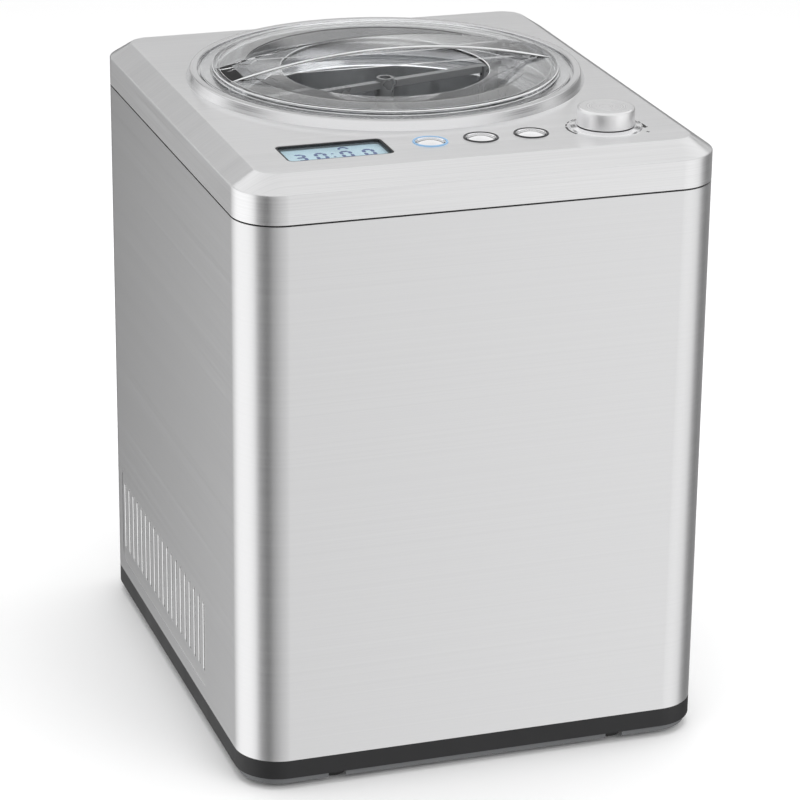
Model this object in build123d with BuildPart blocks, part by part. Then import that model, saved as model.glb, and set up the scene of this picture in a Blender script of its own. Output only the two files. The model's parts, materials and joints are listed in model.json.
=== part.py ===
"""Compressor ice cream maker: a free-standing stainless housing with a lift-out bowl.

Millimetres. The origin is on the floor under the middle of the footprint, +Z is up,
the front faces -Y and the control panel lies along the front of the top plate.
"""
from build123d import *
import os
from math import acos, atan2, cos, degrees, pi, radians, sin, tan

os.makedirs("parts", exist_ok=True)

# ---------------------------------------------------------------- overall housing
width = 282.0
depth = 324.0
corner_radius = 26.0
plate_top = 367.0
bevel_inset = 13.1
bevel_height = 8.4
skirt_height = 17.4
seam_gap = 0.6
shell_wall = 1.0
cap_wall = 2.0
fit_gap = 0.3
face_gap = 0.5

# ---------------------------------------------------------------- base
pan_bottom = 3.0
pan_height = 4.0
pan_inset = 2.5
pan_wall = 1.2
tray_height = 11.4
tray_floor = 3.0
tray_wall = 3.0
rib_height = 6.0
rib_wall = 2.0
foot_radius = 10.0
foot_x = 86.0
foot_edge = 19.0
notch_width = 10.5
foot_screw_radius = 1.5
foot_head_radius = 3.0
foot_head_height = 2.0
foot_head_recess = 0.8

# ---------------------------------------------------------------- side and rear vents
vent_count = 19
vent_pitch = 10.6
vent_slot_width = 3.4
vent_slot_height = 46.0
vent_centre_y = 27.0
vent_centre_z = 59.0
vent_border = 4.0
vent_border_height = 65.0
vent_border_radius = 8.0
vent_border_depth = 0.4
rear_opening_width = 216.0
rear_opening_bottom = 32.0
rear_opening_margin = 14.6
rear_opening_radius = 12.0
rear_panel_wall = 1.2
rear_panel_overlap = 7.0
rear_vent_count = 15
rear_vent_pitch = 11.0
rear_vent_z = 92.0
rear_screw_radius = 1.6
rear_head_radius = 3.0
gland_x = -78.0
gland_z = 48.0
gland_bore_radius = 3.6
gland_body_radius = 6.5
gland_flange_radius = 9.0
gland_inner_length = 9.0

# ---------------------------------------------------------------- bowl axis, collar and lid
bowl_back_margin = 136.8
collar_outer = 118.8
collar_crest = 116.3
collar_mouth = 112.0
collar_height = 5.3
collar_ledge = 2.2
throat_radius = 104.0
throat_wall = 3.7
throat_depth = 17.7
lid_radius = 110.5
lid_flange = 2.1
lid_ring_outer = 103.0
lid_ring_inner = 84.0
lid_ring_rise = 2.8
lid_wall = 2.2
lid_opening_radius = 62.0
lid_dish_drop = 3.2
lid_skirt_outer = 101.2
lid_skirt_depth = 11.0
handle_half_span = 102.0
handle_half_width = 15.5
handle_rise = 16.4
handle_underside = 5.0
handle_wall = 2.4
handle_foot = 80.0

# ---------------------------------------------------------------- well, bowl and paddle
well_radius = 88.2
well_wall = 1.8
well_depth = 111.8
well_flange_radius = 112.0
well_boss_radius = 12.0
well_boss_depth = 8.0
gasket_height = 1.5
bowl_gap = 0.8
bowl_wall = 1.4
bowl_rim_radius = 98.5
bowl_rim_height = 1.6
bowl_tube_radius = 8.0
bowl_tube_bore = 6.2
bowl_tube_drop = 10.1
paddle_hub_radius = 11.0
paddle_hub_gap = 0.5
paddle_hub_rise = 4.0
paddle_neck_radius = 5.3
paddle_neck_bore = 3.5
paddle_drop = 1.5
paddle_tip_gap = 3.5
paddle_arm_width = 5.0
paddle_arm_height = 4.0
paddle_scraper_height = 12.0
paddle_arm_drop = 2.0
paddle_floor_gap = 1.5
paddle_blade_twist = 18.0
paddle_rest_angle = 14.0
paddle_blade_width = 15.0
paddle_blade_thickness = 3.0

# ---------------------------------------------------------------- drive
shaft_radius = 5.0
running_gap = 0.05
shaft_tail = 3.0
shaft_tube_rise = 2.5
tip_radius = 3.2
tip_flat = 2.5
tip_height = 11.5
tip_gap = 0.12
deck_drop = 28.0
deck_wall = 2.0
deck_flange = 14.0
deck_end_margin = 12.0
gearbox_height = 38.0
gearbox_floor = 4.0
gearbox_wall = 3.0
gearbox_lid = 3.0
gear_margin = 3.0
bush_radius = 8.0
tower_radius = 12.0
tower_height = 18.0
output_teeth = 66
idler_small_teeth = 18
idler_large_teeth = 72
pinion_teeth = 18
output_module = 1.25
input_module = 0.8
pressure_angle = radians(20.0)
gear_backlash = 0.16
addendum_factor = 0.9
dedendum_factor = 1.2
output_gear_rise = 19.0
output_gear_width = 11.0
input_gear_rise = 7.0
input_gear_width = 8.0
idler_pin_radius = 3.0
motor_radius = 28.0
motor_length = 72.0
motor_wall = 2.0
motor_shaft_radius = 3.0
armature_radius = 19.0
armature_length = 46.0

# ---------------------------------------------------------------- cooling
coil_tube_radius = 4.2
coil_turns = 5.75
coil_pitch = 15.0
coil_rise = 10.0
foam_radius = 128.0
foam_gap = 5.2
compressor_side_margin = 81.0
compressor_back_margin = 84.0
compressor_radius = 50.0
compressor_bottom = 34.0
compressor_top = 150.0
compressor_wall = 3.0
compressor_fillet = 14.0
mount_plate_half = 58.0
mount_plate_wall = 2.0
grommet_radius = 8.0
grommet_bore = 3.2
pump_radius = 36.0
pump_height = 78.0
line_radius = 3.0
line_bend = 8.0
capillary_radius = 1.5
drier_radius = 9.0
drier_bottom = 66.0
drier_length = 78.0
condenser_side_margin = 29.0
condenser_y = 30.0
condenser_z = 87.0
condenser_thickness = 30.0
condenser_length = 146.0
condenser_height = 126.0
condenser_fins_count = 24
condenser_fin_gap = 3.4
condenser_fin_depth = 12.0
condenser_rows = 5
shroud_wall = 2.0
shroud_depth = 22.0
fan_duct_radius = 50.0
fan_radius = 46.0
fan_hub_radius = 14.0
fan_hub_length = 14.0
fan_blades = 5
fan_blade_wall = 1.8
fan_blade_chord = 22.0
fan_blade_pitch = radians(28.0)
fan_motor_radius = 18.0
fan_motor_length = 24.0
fan_shaft_radius = 1.6

# ---------------------------------------------------------------- controls
control_front_margin = 47.5
display_x = -75.0
display_width = 59.5
display_depth = 27.5
display_radius = 2.5
display_recess = 1.6
display_flange = 3.0
display_flange_height = 2.2
display_gap = 0.1
display_lip = 1.2
lens_thickness = 1.0
lcd_height = 9.0
button_x = (-19.0, 11.0, 41.0)
button_radius = 7.75
button_ring_radius = 10.2
button_ring_bore = 7.95
button_ring_rise = 0.6
button_crown = 1.5
button_edge_drop = 0.6
button_travel = 1.2
button_foot_radius = 9.2
button_length = 12.6
knob_x = 86.0
knob_radius = 16.8
knob_taper = 1.6
knob_rise = 12.2
knob_spigot_radius = 12.7
knob_hub_radius = 6.0
knob_hub_rise = 0.6
knob_top_round = 0.8
knob_wall = 2.2
knob_flange_margin = 4.2
knob_flange_height = 1.6
knob_lift = 0.4
encoder_shaft_radius = 3.0
encoder_body_side = 12.4
encoder_body_height = 7.0
encoder_nose_radius = 4.5
encoder_nose_length = 6.0
encoder_end_gap = 1.2
board_drop = 19.0
board_shaft_hole = 3.6
board_wall = 1.6
board_width = 240.0
board_boss_radius = 3.0
board_boss_edge = 4.5
board_depth = 48.0
switch_height = 5.8
switch_side = 6.0
switch_plunger_radius = 1.7
switch_plunger_height = 1.4
press_fit = 0.02

# ---------------------------------------------------------------- power electronics
power_board_side_margin = 23.0
power_board_front_margin = 70.0
power_board_length = 84.0
power_board_bottom = 40.0
power_board_height = 118.0
bracket_wall = 2.0

# ---------------------------------------------------------------- derived levels
tray_bottom = pan_bottom + pan_height
shell_bottom = tray_bottom + tray_height
floor_top = tray_bottom + tray_floor
skirt_top = plate_top - bevel_height
cap_bottom = skirt_top - skirt_height
shell_top = cap_bottom - seam_gap
plate_underside = plate_top - cap_wall
rear_opening_top = shell_top - rear_opening_margin
rib_inset = shell_wall + fit_gap
foot_y = depth / 2 - foot_edge
bowl_y = depth / 2 - bowl_back_margin
control_y = control_front_margin - depth / 2
compressor_x = width / 2 - compressor_side_margin
compressor_y = depth / 2 - compressor_back_margin
condenser_x = condenser_side_margin - width / 2
power_board_x = width / 2 - power_board_side_margin
power_board_y = power_board_front_margin - depth / 2
throat_bottom = plate_top - throat_depth
collar_top = plate_top + collar_height
ledge_top = plate_top + collar_ledge
lid_bottom = ledge_top + fit_gap
lid_flange_top = lid_bottom + lid_flange
ring_top = lid_flange_top + lid_ring_rise
well_outer = well_radius + well_wall
well_flange_top = throat_bottom - gasket_height
well_floor_top = well_flange_top - well_depth
foam_top = well_flange_top - well_wall
bowl_radius = well_radius - bowl_gap
paddle_reach = bowl_radius - bowl_wall - paddle_tip_gap
bowl_bottom = well_floor_top + face_gap
bowl_rim_bottom = well_flange_top + fit_gap
bowl_tube_top = bowl_rim_bottom - bowl_tube_drop
paddle_hub_top = bowl_tube_top + paddle_hub_rise
paddle_top = plate_top - paddle_drop
paddle_arm_top = paddle_top - paddle_arm_drop
shaft_shoulder = bowl_tube_top + shaft_tube_rise
tip_top = shaft_shoulder + tip_height
deck_z = well_floor_top - deck_drop
deck_length = depth - 2 * deck_end_margin - 2 * corner_radius
gearbox_bottom = deck_z - gearbox_height
shaft_bottom = gearbox_bottom - shaft_tail
input_gear_z = gearbox_bottom + input_gear_rise
output_gear_z = gearbox_bottom + output_gear_rise
rear_face = depth / 2 - shell_wall
coil_radius = well_outer + face_gap + coil_tube_radius
coil_bottom = well_floor_top + coil_rise
coil_top = coil_bottom + coil_turns * coil_pitch
foam_bottom = deck_z + deck_wall
board_z = plate_top - board_drop
board_top = board_z + board_wall
knob_top = plate_top + knob_rise
knob_flange_top = plate_top + knob_flange_height
knob_top_radius = knob_radius - knob_taper
knob_flange_radius = knob_radius + knob_flange_margin

output_distance = output_module * (output_teeth + idler_small_teeth) / 2
input_distance = input_module * (idler_large_teeth + pinion_teeth) / 2
idler_y = bowl_y - output_distance
motor_x = input_distance
output_tip = output_module * (output_teeth / 2 + addendum_factor)
idler_tip = input_module * (idler_large_teeth / 2 + addendum_factor)
pinion_tip = input_module * (pinion_teeth / 2 + addendum_factor)
case_screw_points = [
    (-output_tip + 3, bowl_y + output_tip - 3),
    (output_tip - 3, bowl_y + output_tip - 3),
    (-output_tip + 3, idler_y - idler_tip + 3),
    (output_tip - 3, idler_y - idler_tip + 3),
]


# ---------------------------------------------------------------- helpers
def save(piece, name):
    """Label a finished piece and write its STEP file."""
    piece.part.label = name
    export_step(piece.part, f"parts/{name}.step")


def at(x, y, z):
    """A level work plane with its origin at the given point."""
    return Plane((x, y, z))


def outline(inset, mode=Mode.ADD):
    """The housing's rounded rectangle, drawn in by a margin."""
    across = width - 2 * inset
    along = depth - 2 * inset
    return RectangleRounded(across, along, corner_radius - inset, mode=mode)


def gear_points(teeth, module, phase):
    """Points round an involute spur gear with one tooth centred on the phase angle."""
    pitch = teeth * module / 2
    base = pitch * cos(pressure_angle)
    tip = pitch + addendum_factor * module
    root = pitch - dedendum_factor * module
    involute_at_pitch = tan(pressure_angle) - pressure_angle
    half_tooth = pi / (2 * teeth) - gear_backlash / (4 * pitch)
    start = max(base, root)
    flank = []
    for step in range(5):
        radius = start + (tip - start) * step / 4
        slope = acos(min(1.0, base / radius))
        flank.append((radius, half_tooth + involute_at_pitch - tan(slope) + slope))
    if root < base:
        flank.insert(0, (root, flank[0][1]))
    points = []
    for tooth in range(teeth):
        centre = phase + 2 * pi * tooth / teeth
        for radius, half in flank:
            points.append((radius * cos(centre - half), radius * sin(centre - half)))
        for radius, half in reversed(flank):
            points.append((radius * cos(centre + half), radius * sin(centre + half)))
    return points


def half_round_flats(radius, flat):
    """A round section with two flats, for a keyed shaft end or its socket."""
    Circle(radius)
    Rectangle(2 * radius, 2 * flat, mode=Mode.INTERSECT)


# ================================================================ base
with BuildPart() as bottom_pan:
    with BuildSketch(Plane.XY.offset(pan_bottom)):
        outline(pan_inset)
    extrude(amount=pan_height)
    with BuildSketch(Plane.XY.offset(pan_bottom)):
        outline(pan_inset + pan_wall)
    extrude(amount=pan_height - pan_wall, mode=Mode.SUBTRACT)
    with BuildSketch(Plane.XY.offset(pan_bottom)):
        with GridLocations(2 * foot_x, depth - 2 * pan_inset, 2, 2):
            Rectangle(notch_width, 4 * pan_wall)
    extrude(amount=pan_height - pan_wall, mode=Mode.SUBTRACT)
    with BuildSketch(Plane.XY.offset(pan_bottom)):
        with GridLocations(2 * foot_x, 2 * foot_y, 2, 2):
            Circle(foot_screw_radius + running_gap)
    extrude(amount=pan_height, mode=Mode.SUBTRACT)
save(bottom_pan, "bottom_pan")

foot_seat = tray_bottom - pan_wall

with BuildPart() as feet:
    with BuildSketch(Plane.XY):
        with GridLocations(2 * foot_x, 2 * foot_y, 2, 2):
            Circle(foot_radius)
    extrude(amount=foot_seat)
    with BuildSketch(Plane.XY):
        with GridLocations(2 * foot_x, 2 * foot_y, 2, 2):
            Circle(foot_head_radius + fit_gap)
    extrude(amount=foot_head_recess + foot_head_height, mode=Mode.SUBTRACT)
    with BuildSketch(Plane.XY):
        with GridLocations(2 * foot_x, 2 * foot_y, 2, 2):
            Circle(foot_screw_radius + running_gap)
    extrude(amount=foot_seat, mode=Mode.SUBTRACT)
save(feet, "feet")

with BuildPart() as foot_screws:
    with BuildSketch(Plane.XY.offset(foot_head_recess)):
        with GridLocations(2 * foot_x, 2 * foot_y, 2, 2):
            Circle(foot_head_radius)
    extrude(amount=foot_head_height)
    with BuildSketch(Plane.XY.offset(foot_head_recess + foot_head_height)):
        with GridLocations(2 * foot_x, 2 * foot_y, 2, 2):
            Circle(foot_screw_radius)
    extrude(amount=floor_top - foot_head_recess - foot_head_height)
    with BuildSketch(Plane.XY.offset(foot_head_recess)):
        with GridLocations(2 * foot_x, 2 * foot_y, 2, 2):
            Rectangle(foot_head_radius, foot_head_height / 3)
            Rectangle(foot_head_height / 3, foot_head_radius)
    extrude(amount=foot_head_height / 2, mode=Mode.SUBTRACT)
save(foot_screws, "foot_screws")

mount_half_x = mount_plate_half - grommet_radius - 1
mount_half_y = compressor_radius - grommet_radius

with BuildPart() as base_tray:
    with BuildSketch(Plane.XY.offset(tray_bottom)):
        outline(0)
    extrude(amount=tray_height)
    with BuildSketch(Plane.XY.offset(floor_top)):
        outline(tray_wall)
    extrude(amount=tray_height, mode=Mode.SUBTRACT)
    with BuildSketch(Plane.XY.offset(floor_top)):
        outline(rib_inset)
        outline(rib_inset + rib_wall, mode=Mode.SUBTRACT)
    extrude(amount=shell_bottom + rib_height - floor_top)
    with BuildSketch(Plane.XY.offset(tray_bottom)):
        with GridLocations(2 * foot_x, 2 * foot_y, 2, 2):
            Circle(foot_screw_radius + running_gap)
    extrude(amount=tray_floor, mode=Mode.SUBTRACT)
    with BuildSketch(Plane.XY.offset(floor_top)):
        with Locations((power_board_x + board_wall + bracket_wall / 2, power_board_y)):
            Rectangle(bracket_wall, power_board_length)
    extrude(amount=power_board_bottom + power_board_height - floor_top)
save(base_tray, "base_tray")

# ================================================================ outer casing
with BuildPart() as body_shell:
    with BuildSketch(Plane.XY.offset(shell_bottom)):
        outline(0)
        outline(shell_wall, mode=Mode.SUBTRACT)
    extrude(amount=shell_top - shell_bottom)
    with BuildSketch(Plane.YZ) as side_slots:
        with Locations((vent_centre_y, vent_centre_z)):
            with GridLocations(vent_pitch, 0, vent_count, 1):
                SlotOverall(vent_slot_height, vent_slot_width, rotation=90)
    extrude(amount=width, both=True, mode=Mode.SUBTRACT)
    vent_border_length = vent_count * vent_pitch + vent_border
    for side in (-1, 1):
        with BuildSketch(Plane((side * width / 2, 0, 0), x_dir=(0, 1, 0), z_dir=(1, 0, 0))):
            with Locations((vent_centre_y, vent_centre_z)):
                RectangleRounded(vent_border_length, vent_border_height, vent_border_radius)
        extrude(amount=-side * vent_border_depth, mode=Mode.SUBTRACT)
    rear_opening_height = rear_opening_top - rear_opening_bottom
    with BuildSketch(Plane.XZ):
        with Locations((0, rear_opening_bottom + rear_opening_height / 2)):
            RectangleRounded(rear_opening_width, rear_opening_height, rear_opening_radius)
    extrude(amount=-depth, mode=Mode.SUBTRACT)
    rear_middle_z = (rear_opening_bottom + rear_opening_top) / 2
    rear_screw_x = rear_opening_width / 2 + rear_panel_overlap / 2
    rear_screw_row = rear_opening_height - 2 * rear_opening_radius
    with BuildSketch(Plane.XZ):
        with Locations((0, rear_middle_z)):
            with GridLocations(2 * rear_screw_x, rear_screw_row / 2, 2, 3):
                Circle(rear_screw_radius + running_gap)
    extrude(amount=-depth, mode=Mode.SUBTRACT)
save(body_shell, "body_shell")

rear_plane = Plane((0, rear_face, 0), x_dir=(1, 0, 0), z_dir=(0, -1, 0))

with BuildPart() as rear_panel:
    with BuildSketch(rear_plane):
        with Locations((0, rear_middle_z)):
            panel_width = rear_opening_width + 2 * rear_panel_overlap
            panel_height = rear_opening_height + 2 * rear_panel_overlap - 1
            Rectangle(panel_width, panel_height)
        with Locations((0, rear_vent_z)):
            with GridLocations(rear_vent_pitch, 0, rear_vent_count, 1):
                SlotOverall(vent_slot_height, vent_slot_width, rotation=90, mode=Mode.SUBTRACT)
        with Locations((gland_x, gland_z)):
            Circle(gland_body_radius + running_gap, mode=Mode.SUBTRACT)
        with Locations((0, rear_middle_z)):
            with GridLocations(2 * rear_screw_x, rear_screw_row / 2, 2, 3):
                Circle(rear_screw_radius + running_gap, mode=Mode.SUBTRACT)
    extrude(amount=rear_panel_wall)
save(rear_panel, "rear_panel")

with BuildPart() as rear_panel_screws:
    with BuildSketch(Plane((0, depth / 2, 0), x_dir=(1, 0, 0), z_dir=(0, -1, 0))):
        with Locations((0, rear_middle_z)):
            with GridLocations(2 * rear_screw_x, rear_screw_row / 2, 2, 3):
                Circle(rear_screw_radius)
    extrude(amount=shell_wall + rear_panel_wall + 3)
save(rear_panel_screws, "rear_panel_screws")

with BuildPart() as cord_gland:
    with BuildSketch(rear_plane):
        with Locations((gland_x, gland_z)):
            Circle(gland_flange_radius)
            Circle(gland_bore_radius, mode=Mode.SUBTRACT)
    extrude(amount=-shell_wall)
    with BuildSketch(rear_plane):
        with Locations((gland_x, gland_z)):
            Circle(gland_body_radius)
            Circle(gland_bore_radius, mode=Mode.SUBTRACT)
    extrude(amount=gland_inner_length)
save(cord_gland, "cord_gland")

bevel_angle = atan2(bevel_height, bevel_inset)
bevel_wall_inset = cap_wall / sin(bevel_angle)
knee_drop = (bevel_wall_inset - cap_wall) * tan(bevel_angle)
cavity_inset = (plate_underside - skirt_top) / tan(bevel_angle) + bevel_wall_inset
collar_hole = throat_radius + throat_wall + fit_gap

with BuildPart() as top_housing:
    with BuildSketch(Plane.XY.offset(cap_bottom)):
        outline(0)
    extrude(amount=skirt_height)
    with BuildSketch(Plane.XY.offset(skirt_top)):
        outline(0)
    with BuildSketch(Plane.XY.offset(plate_top)):
        outline(bevel_inset)
    loft()
    with BuildSketch(Plane.XY.offset(cap_bottom)):
        outline(cap_wall)
    extrude(amount=skirt_height - knee_drop, mode=Mode.SUBTRACT)
    with BuildSketch(Plane.XY.offset(skirt_top - knee_drop)):
        outline(cap_wall)
    with BuildSketch(Plane.XY.offset(plate_underside)):
        outline(cavity_inset)
    loft(mode=Mode.SUBTRACT)
    with BuildSketch(Plane.XY.offset(shell_top - rib_height)):
        outline(rib_inset)
        outline(rib_inset + rib_wall, mode=Mode.SUBTRACT)
    extrude(amount=rib_height + seam_gap + 4)
    with BuildSketch(Plane.XY.offset(plate_underside)):
        with Locations((0, bowl_y)):
            Circle(collar_hole)
        with Locations((display_x, control_y)):
            window_width = display_width + 2 * display_lip
            window_depth = display_depth + 2 * display_lip
            RectangleRounded(window_width, window_depth, display_radius + display_lip)
        with Locations(*[(x, control_y) for x in button_x]):
            Circle(button_foot_radius + fit_gap)
        with Locations((knob_x, control_y)):
            Circle(knob_spigot_radius + fit_gap)
    extrude(amount=cap_wall, mode=Mode.SUBTRACT)
    boss_bottom = board_top
    boss_x = board_width - 2 * board_boss_edge
    boss_y = board_depth - 2 * board_boss_edge
    with BuildSketch(Plane.XY.offset(boss_bottom)):
        with Locations((0, control_y)):
            with GridLocations(boss_x, boss_y, 2, 2):
                Circle(board_boss_radius)
    extrude(amount=plate_underside + cap_wall / 2 - boss_bottom)
save(top_housing, "top_housing")

with BuildPart() as collar_ring:
    with BuildSketch(Plane.XZ.offset(-bowl_y)):
        with BuildLine():
            Polyline(
                (collar_outer, plate_top),
                (collar_crest, collar_top),
                (collar_mouth, collar_top),
                (collar_mouth, ledge_top),
                (throat_radius, ledge_top),
                (throat_radius, throat_bottom),
                (throat_radius + throat_wall, throat_bottom),
                (throat_radius + throat_wall, plate_top),
                close=True,
            )
        make_face()
    revolve(axis=Axis((0, bowl_y, 0), (0, 0, 1)))
save(collar_ring, "collar_ring")
bowl_line = Axis((0, bowl_y, 0), (0, 0, 1))

# ================================================================ clear lid
with BuildPart() as lid:
    with BuildSketch(Plane.XZ.offset(-bowl_y)):
        with BuildLine():
            Polyline(
                (lid_radius, lid_bottom),
                (lid_radius, lid_flange_top),
                (lid_ring_outer + 0.5, lid_flange_top),
                (lid_ring_outer, ring_top),
                (lid_ring_inner, ring_top),
                (lid_opening_radius, ring_top - lid_dish_drop),
                (lid_opening_radius, ring_top - lid_dish_drop - lid_wall),
                (lid_ring_inner, ring_top - lid_wall),
                (lid_skirt_outer - lid_wall, ring_top - lid_wall),
                (lid_skirt_outer - lid_wall, lid_bottom - lid_skirt_depth),
                (lid_skirt_outer, lid_bottom - lid_skirt_depth),
                (lid_skirt_outer, lid_bottom),
                close=True,
            )
        make_face()
    revolve(axis=bowl_line)
    handle_top = lid_flange_top + handle_rise
    handle_base = ring_top - 0.6
    underside = handle_top - handle_rise + handle_underside
    with BuildSketch(Plane.XZ.offset(-bowl_y)):
        with BuildLine():
            arch = ThreePointArc(
                (-handle_half_span, handle_base),
                (0, handle_top),
                (handle_half_span, handle_base),
            )
            Polyline(
                arch @ 1,
                (handle_foot, handle_base),
                (handle_foot - 4, underside),
                (4 - handle_foot, underside),
                (-handle_foot, handle_base),
                arch @ 0,
            )
        make_face()
    extrude(amount=handle_half_width, both=True)
    with BuildSketch(Plane.XZ.offset(-bowl_y)):
        with BuildLine():
            hollow_top = handle_top - handle_wall
            hollow_end = handle_foot - 10
            inner_arch = ThreePointArc(
                (-hollow_end, underside + handle_wall),
                (0, hollow_top),
                (hollow_end, underside + handle_wall),
            )
            Polyline(
                inner_arch @ 1,
                (hollow_end, underside - 1),
                (-hollow_end, underside - 1),
                inner_arch @ 0,
            )
        make_face()
    extrude(amount=handle_half_width - handle_wall, both=True, mode=Mode.SUBTRACT)
save(lid, "lid")

# ================================================================ freezer well
with BuildPart() as freezer_well:
    with BuildSketch(Plane.XZ.offset(-bowl_y)):
        with BuildLine():
            Polyline(
                (bush_radius + running_gap, well_floor_top),
                (well_radius, well_floor_top),
                (well_radius, well_flange_top),
                (well_flange_radius, well_flange_top),
                (well_flange_radius, foam_top),
                (well_outer, foam_top),
                (well_outer, well_floor_top - well_wall),
                (well_boss_radius, well_floor_top - well_wall),
                (well_boss_radius, well_floor_top - well_wall - well_boss_depth),
                (bush_radius + running_gap, well_floor_top - well_wall - well_boss_depth),
                close=True,
            )
        make_face()
    revolve(axis=bowl_line)
save(freezer_well, "freezer_well")

with BuildPart() as shaft_seal:
    with BuildSketch(at(0, bowl_y, well_floor_top - well_wall - well_boss_depth)):
        Circle(bush_radius)
        Circle(shaft_radius + running_gap, mode=Mode.SUBTRACT)
    extrude(amount=well_wall + well_boss_depth)
save(shaft_seal, "shaft_seal")

with BuildPart() as well_gasket:
    with BuildSketch(at(0, bowl_y, well_flange_top)):
        Circle(well_flange_radius)
        Circle(throat_radius - 2, mode=Mode.SUBTRACT)
    extrude(amount=gasket_height)
save(well_gasket, "well_gasket")

compressor_angle = degrees(atan2(compressor_y - bowl_y, compressor_x))
return_radius = foam_radius - 2 * coil_tube_radius - 3
return_x = return_radius * cos(radians(compressor_angle))
return_y = bowl_y + return_radius * sin(radians(compressor_angle))
inlet_angle = compressor_angle - 360 * coil_turns
inlet_x = coil_radius * cos(radians(inlet_angle))
inlet_y = bowl_y + coil_radius * sin(radians(inlet_angle))

coil_path = Plane(
    (0, bowl_y, coil_bottom),
    x_dir=(cos(radians(inlet_angle)), sin(radians(inlet_angle)), 0),
    z_dir=(0, 0, 1),
) * Helix(coil_pitch, coil_turns * coil_pitch, coil_radius)

with BuildPart() as evaporator_coil:
    with BuildSketch(Plane(origin=coil_path @ 0, z_dir=coil_path % 0)):
        Circle(coil_tube_radius)
    sweep(path=coil_path, is_frenet=True)
save(evaporator_coil, "evaporator_coil")

foam_bore = coil_radius + coil_tube_radius + face_gap
foam_seat = well_floor_top - well_wall

with BuildPart() as insulation_jacket:
    with BuildSketch(at(0, bowl_y, foam_bottom)):
        Circle(foam_radius)
    extrude(amount=foam_top - foam_bottom)
    with BuildSketch(at(0, bowl_y, foam_seat)):
        Circle(foam_bore)
    extrude(amount=foam_top - foam_seat, mode=Mode.SUBTRACT)
    with BuildSketch(at(0, bowl_y, foam_bottom)):
        Circle(well_boss_radius + face_gap)
    extrude(amount=foam_seat - foam_bottom, mode=Mode.SUBTRACT)
    with BuildSketch(Plane.XY.offset(foam_bottom)):
        with Locations((return_x, return_y)):
            Circle(line_radius + face_gap)
        with Locations((inlet_x, inlet_y)):
            Circle(capillary_radius + face_gap)
    extrude(amount=foam_top - foam_bottom, mode=Mode.SUBTRACT)
    with BuildSketch(Plane.XY.offset(foam_bottom)):
        with Locations(*case_screw_points):
            Circle(rear_head_radius + face_gap)
    extrude(amount=rear_screw_radius + face_gap, mode=Mode.SUBTRACT)
save(insulation_jacket, "insulation_jacket")

# ================================================================ bowl and paddle
with BuildPart() as bowl:
    with BuildSketch(Plane.XZ.offset(-bowl_y)):
        with BuildLine():
            bowl_inner = bowl_radius - bowl_wall
            bowl_floor = bowl_bottom + bowl_wall
            Polyline(
                (bowl_tube_bore, bowl_bottom),
                (bowl_radius, bowl_bottom),
                (bowl_radius, bowl_rim_bottom),
                (bowl_rim_radius, bowl_rim_bottom),
                (bowl_rim_radius, bowl_rim_bottom + bowl_rim_height),
                (bowl_inner, bowl_rim_bottom + bowl_rim_height),
                (bowl_inner, bowl_floor),
                (bowl_tube_radius, bowl_floor),
                (bowl_tube_radius, bowl_tube_top),
                (bowl_tube_bore, bowl_tube_top),
                close=True,
            )
        make_face()
    revolve(axis=bowl_line)
save(bowl, "bowl")

paddle_bottom = bowl_floor + paddle_floor_gap
hub_bore = bowl_tube_radius + paddle_hub_gap
blade_height = paddle_arm_top - paddle_bottom

with BuildPart() as paddle:
    with BuildSketch(Plane.XZ.offset(-bowl_y)):
        with BuildLine():
            Polyline(
                (hub_bore, paddle_bottom),
                (paddle_hub_radius, paddle_bottom),
                (paddle_hub_radius, paddle_hub_top),
                (paddle_neck_radius, paddle_hub_top + 4),
                (paddle_neck_radius, paddle_top),
                (paddle_neck_bore, paddle_top),
                (paddle_neck_bore, tip_top + 1),
                (0, tip_top + 1),
                (0, shaft_shoulder + face_gap),
                (hub_bore, shaft_shoulder + face_gap),
                close=True,
            )
        make_face()
    revolve(axis=bowl_line)
    arm_inner = paddle_neck_radius - 0.8
    arm_length = paddle_reach - arm_inner
    arm_middle = (paddle_reach + arm_inner) / 2
    with BuildSketch(at(0, bowl_y, paddle_arm_top - paddle_arm_height)):
        with PolarLocations(arm_middle, 2, start_angle=paddle_rest_angle):
            Rectangle(arm_length, paddle_arm_width)
    extrude(amount=paddle_arm_height)
    low_inner = hub_bore + 0.8
    low_length = paddle_reach - low_inner
    low_middle = (paddle_reach + low_inner) / 2
    with BuildSketch(at(0, bowl_y, paddle_bottom)):
        with PolarLocations(low_middle, 2, start_angle=paddle_rest_angle):
            Rectangle(low_length, paddle_arm_width)
    extrude(amount=paddle_scraper_height)
    blade_middle = paddle_reach - paddle_blade_width / 2
    with BuildSketch(at(0, bowl_y, paddle_bottom)):
        with PolarLocations(blade_middle, 2, start_angle=paddle_rest_angle):
            Rectangle(paddle_blade_width, paddle_blade_thickness, rotation=paddle_blade_twist)
    extrude(amount=blade_height)
    with BuildSketch(at(0, bowl_y, shaft_shoulder)):
        half_round_flats(tip_radius + tip_gap, tip_flat + tip_gap)
    extrude(amount=tip_top + 0.5 - shaft_shoulder, mode=Mode.SUBTRACT)
save(paddle, "paddle")

# ================================================================ deck and gearbox
gearbox_inside = gearbox_bottom + gearbox_floor
gearbox_cover_z = deck_z - gearbox_lid


def gear_case_outline(margin):
    """The rounded outline round the three gear axes, grown by a margin."""
    case_left = -output_tip - margin
    case_right = max(output_tip, motor_x + pinion_tip) + margin
    case_back = bowl_y + output_tip + margin
    case_front = idler_y - idler_tip - margin
    with Locations(((case_left + case_right) / 2, (case_back + case_front) / 2)):
        RectangleRounded(case_right - case_left, case_back - case_front, 12 + margin)


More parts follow.
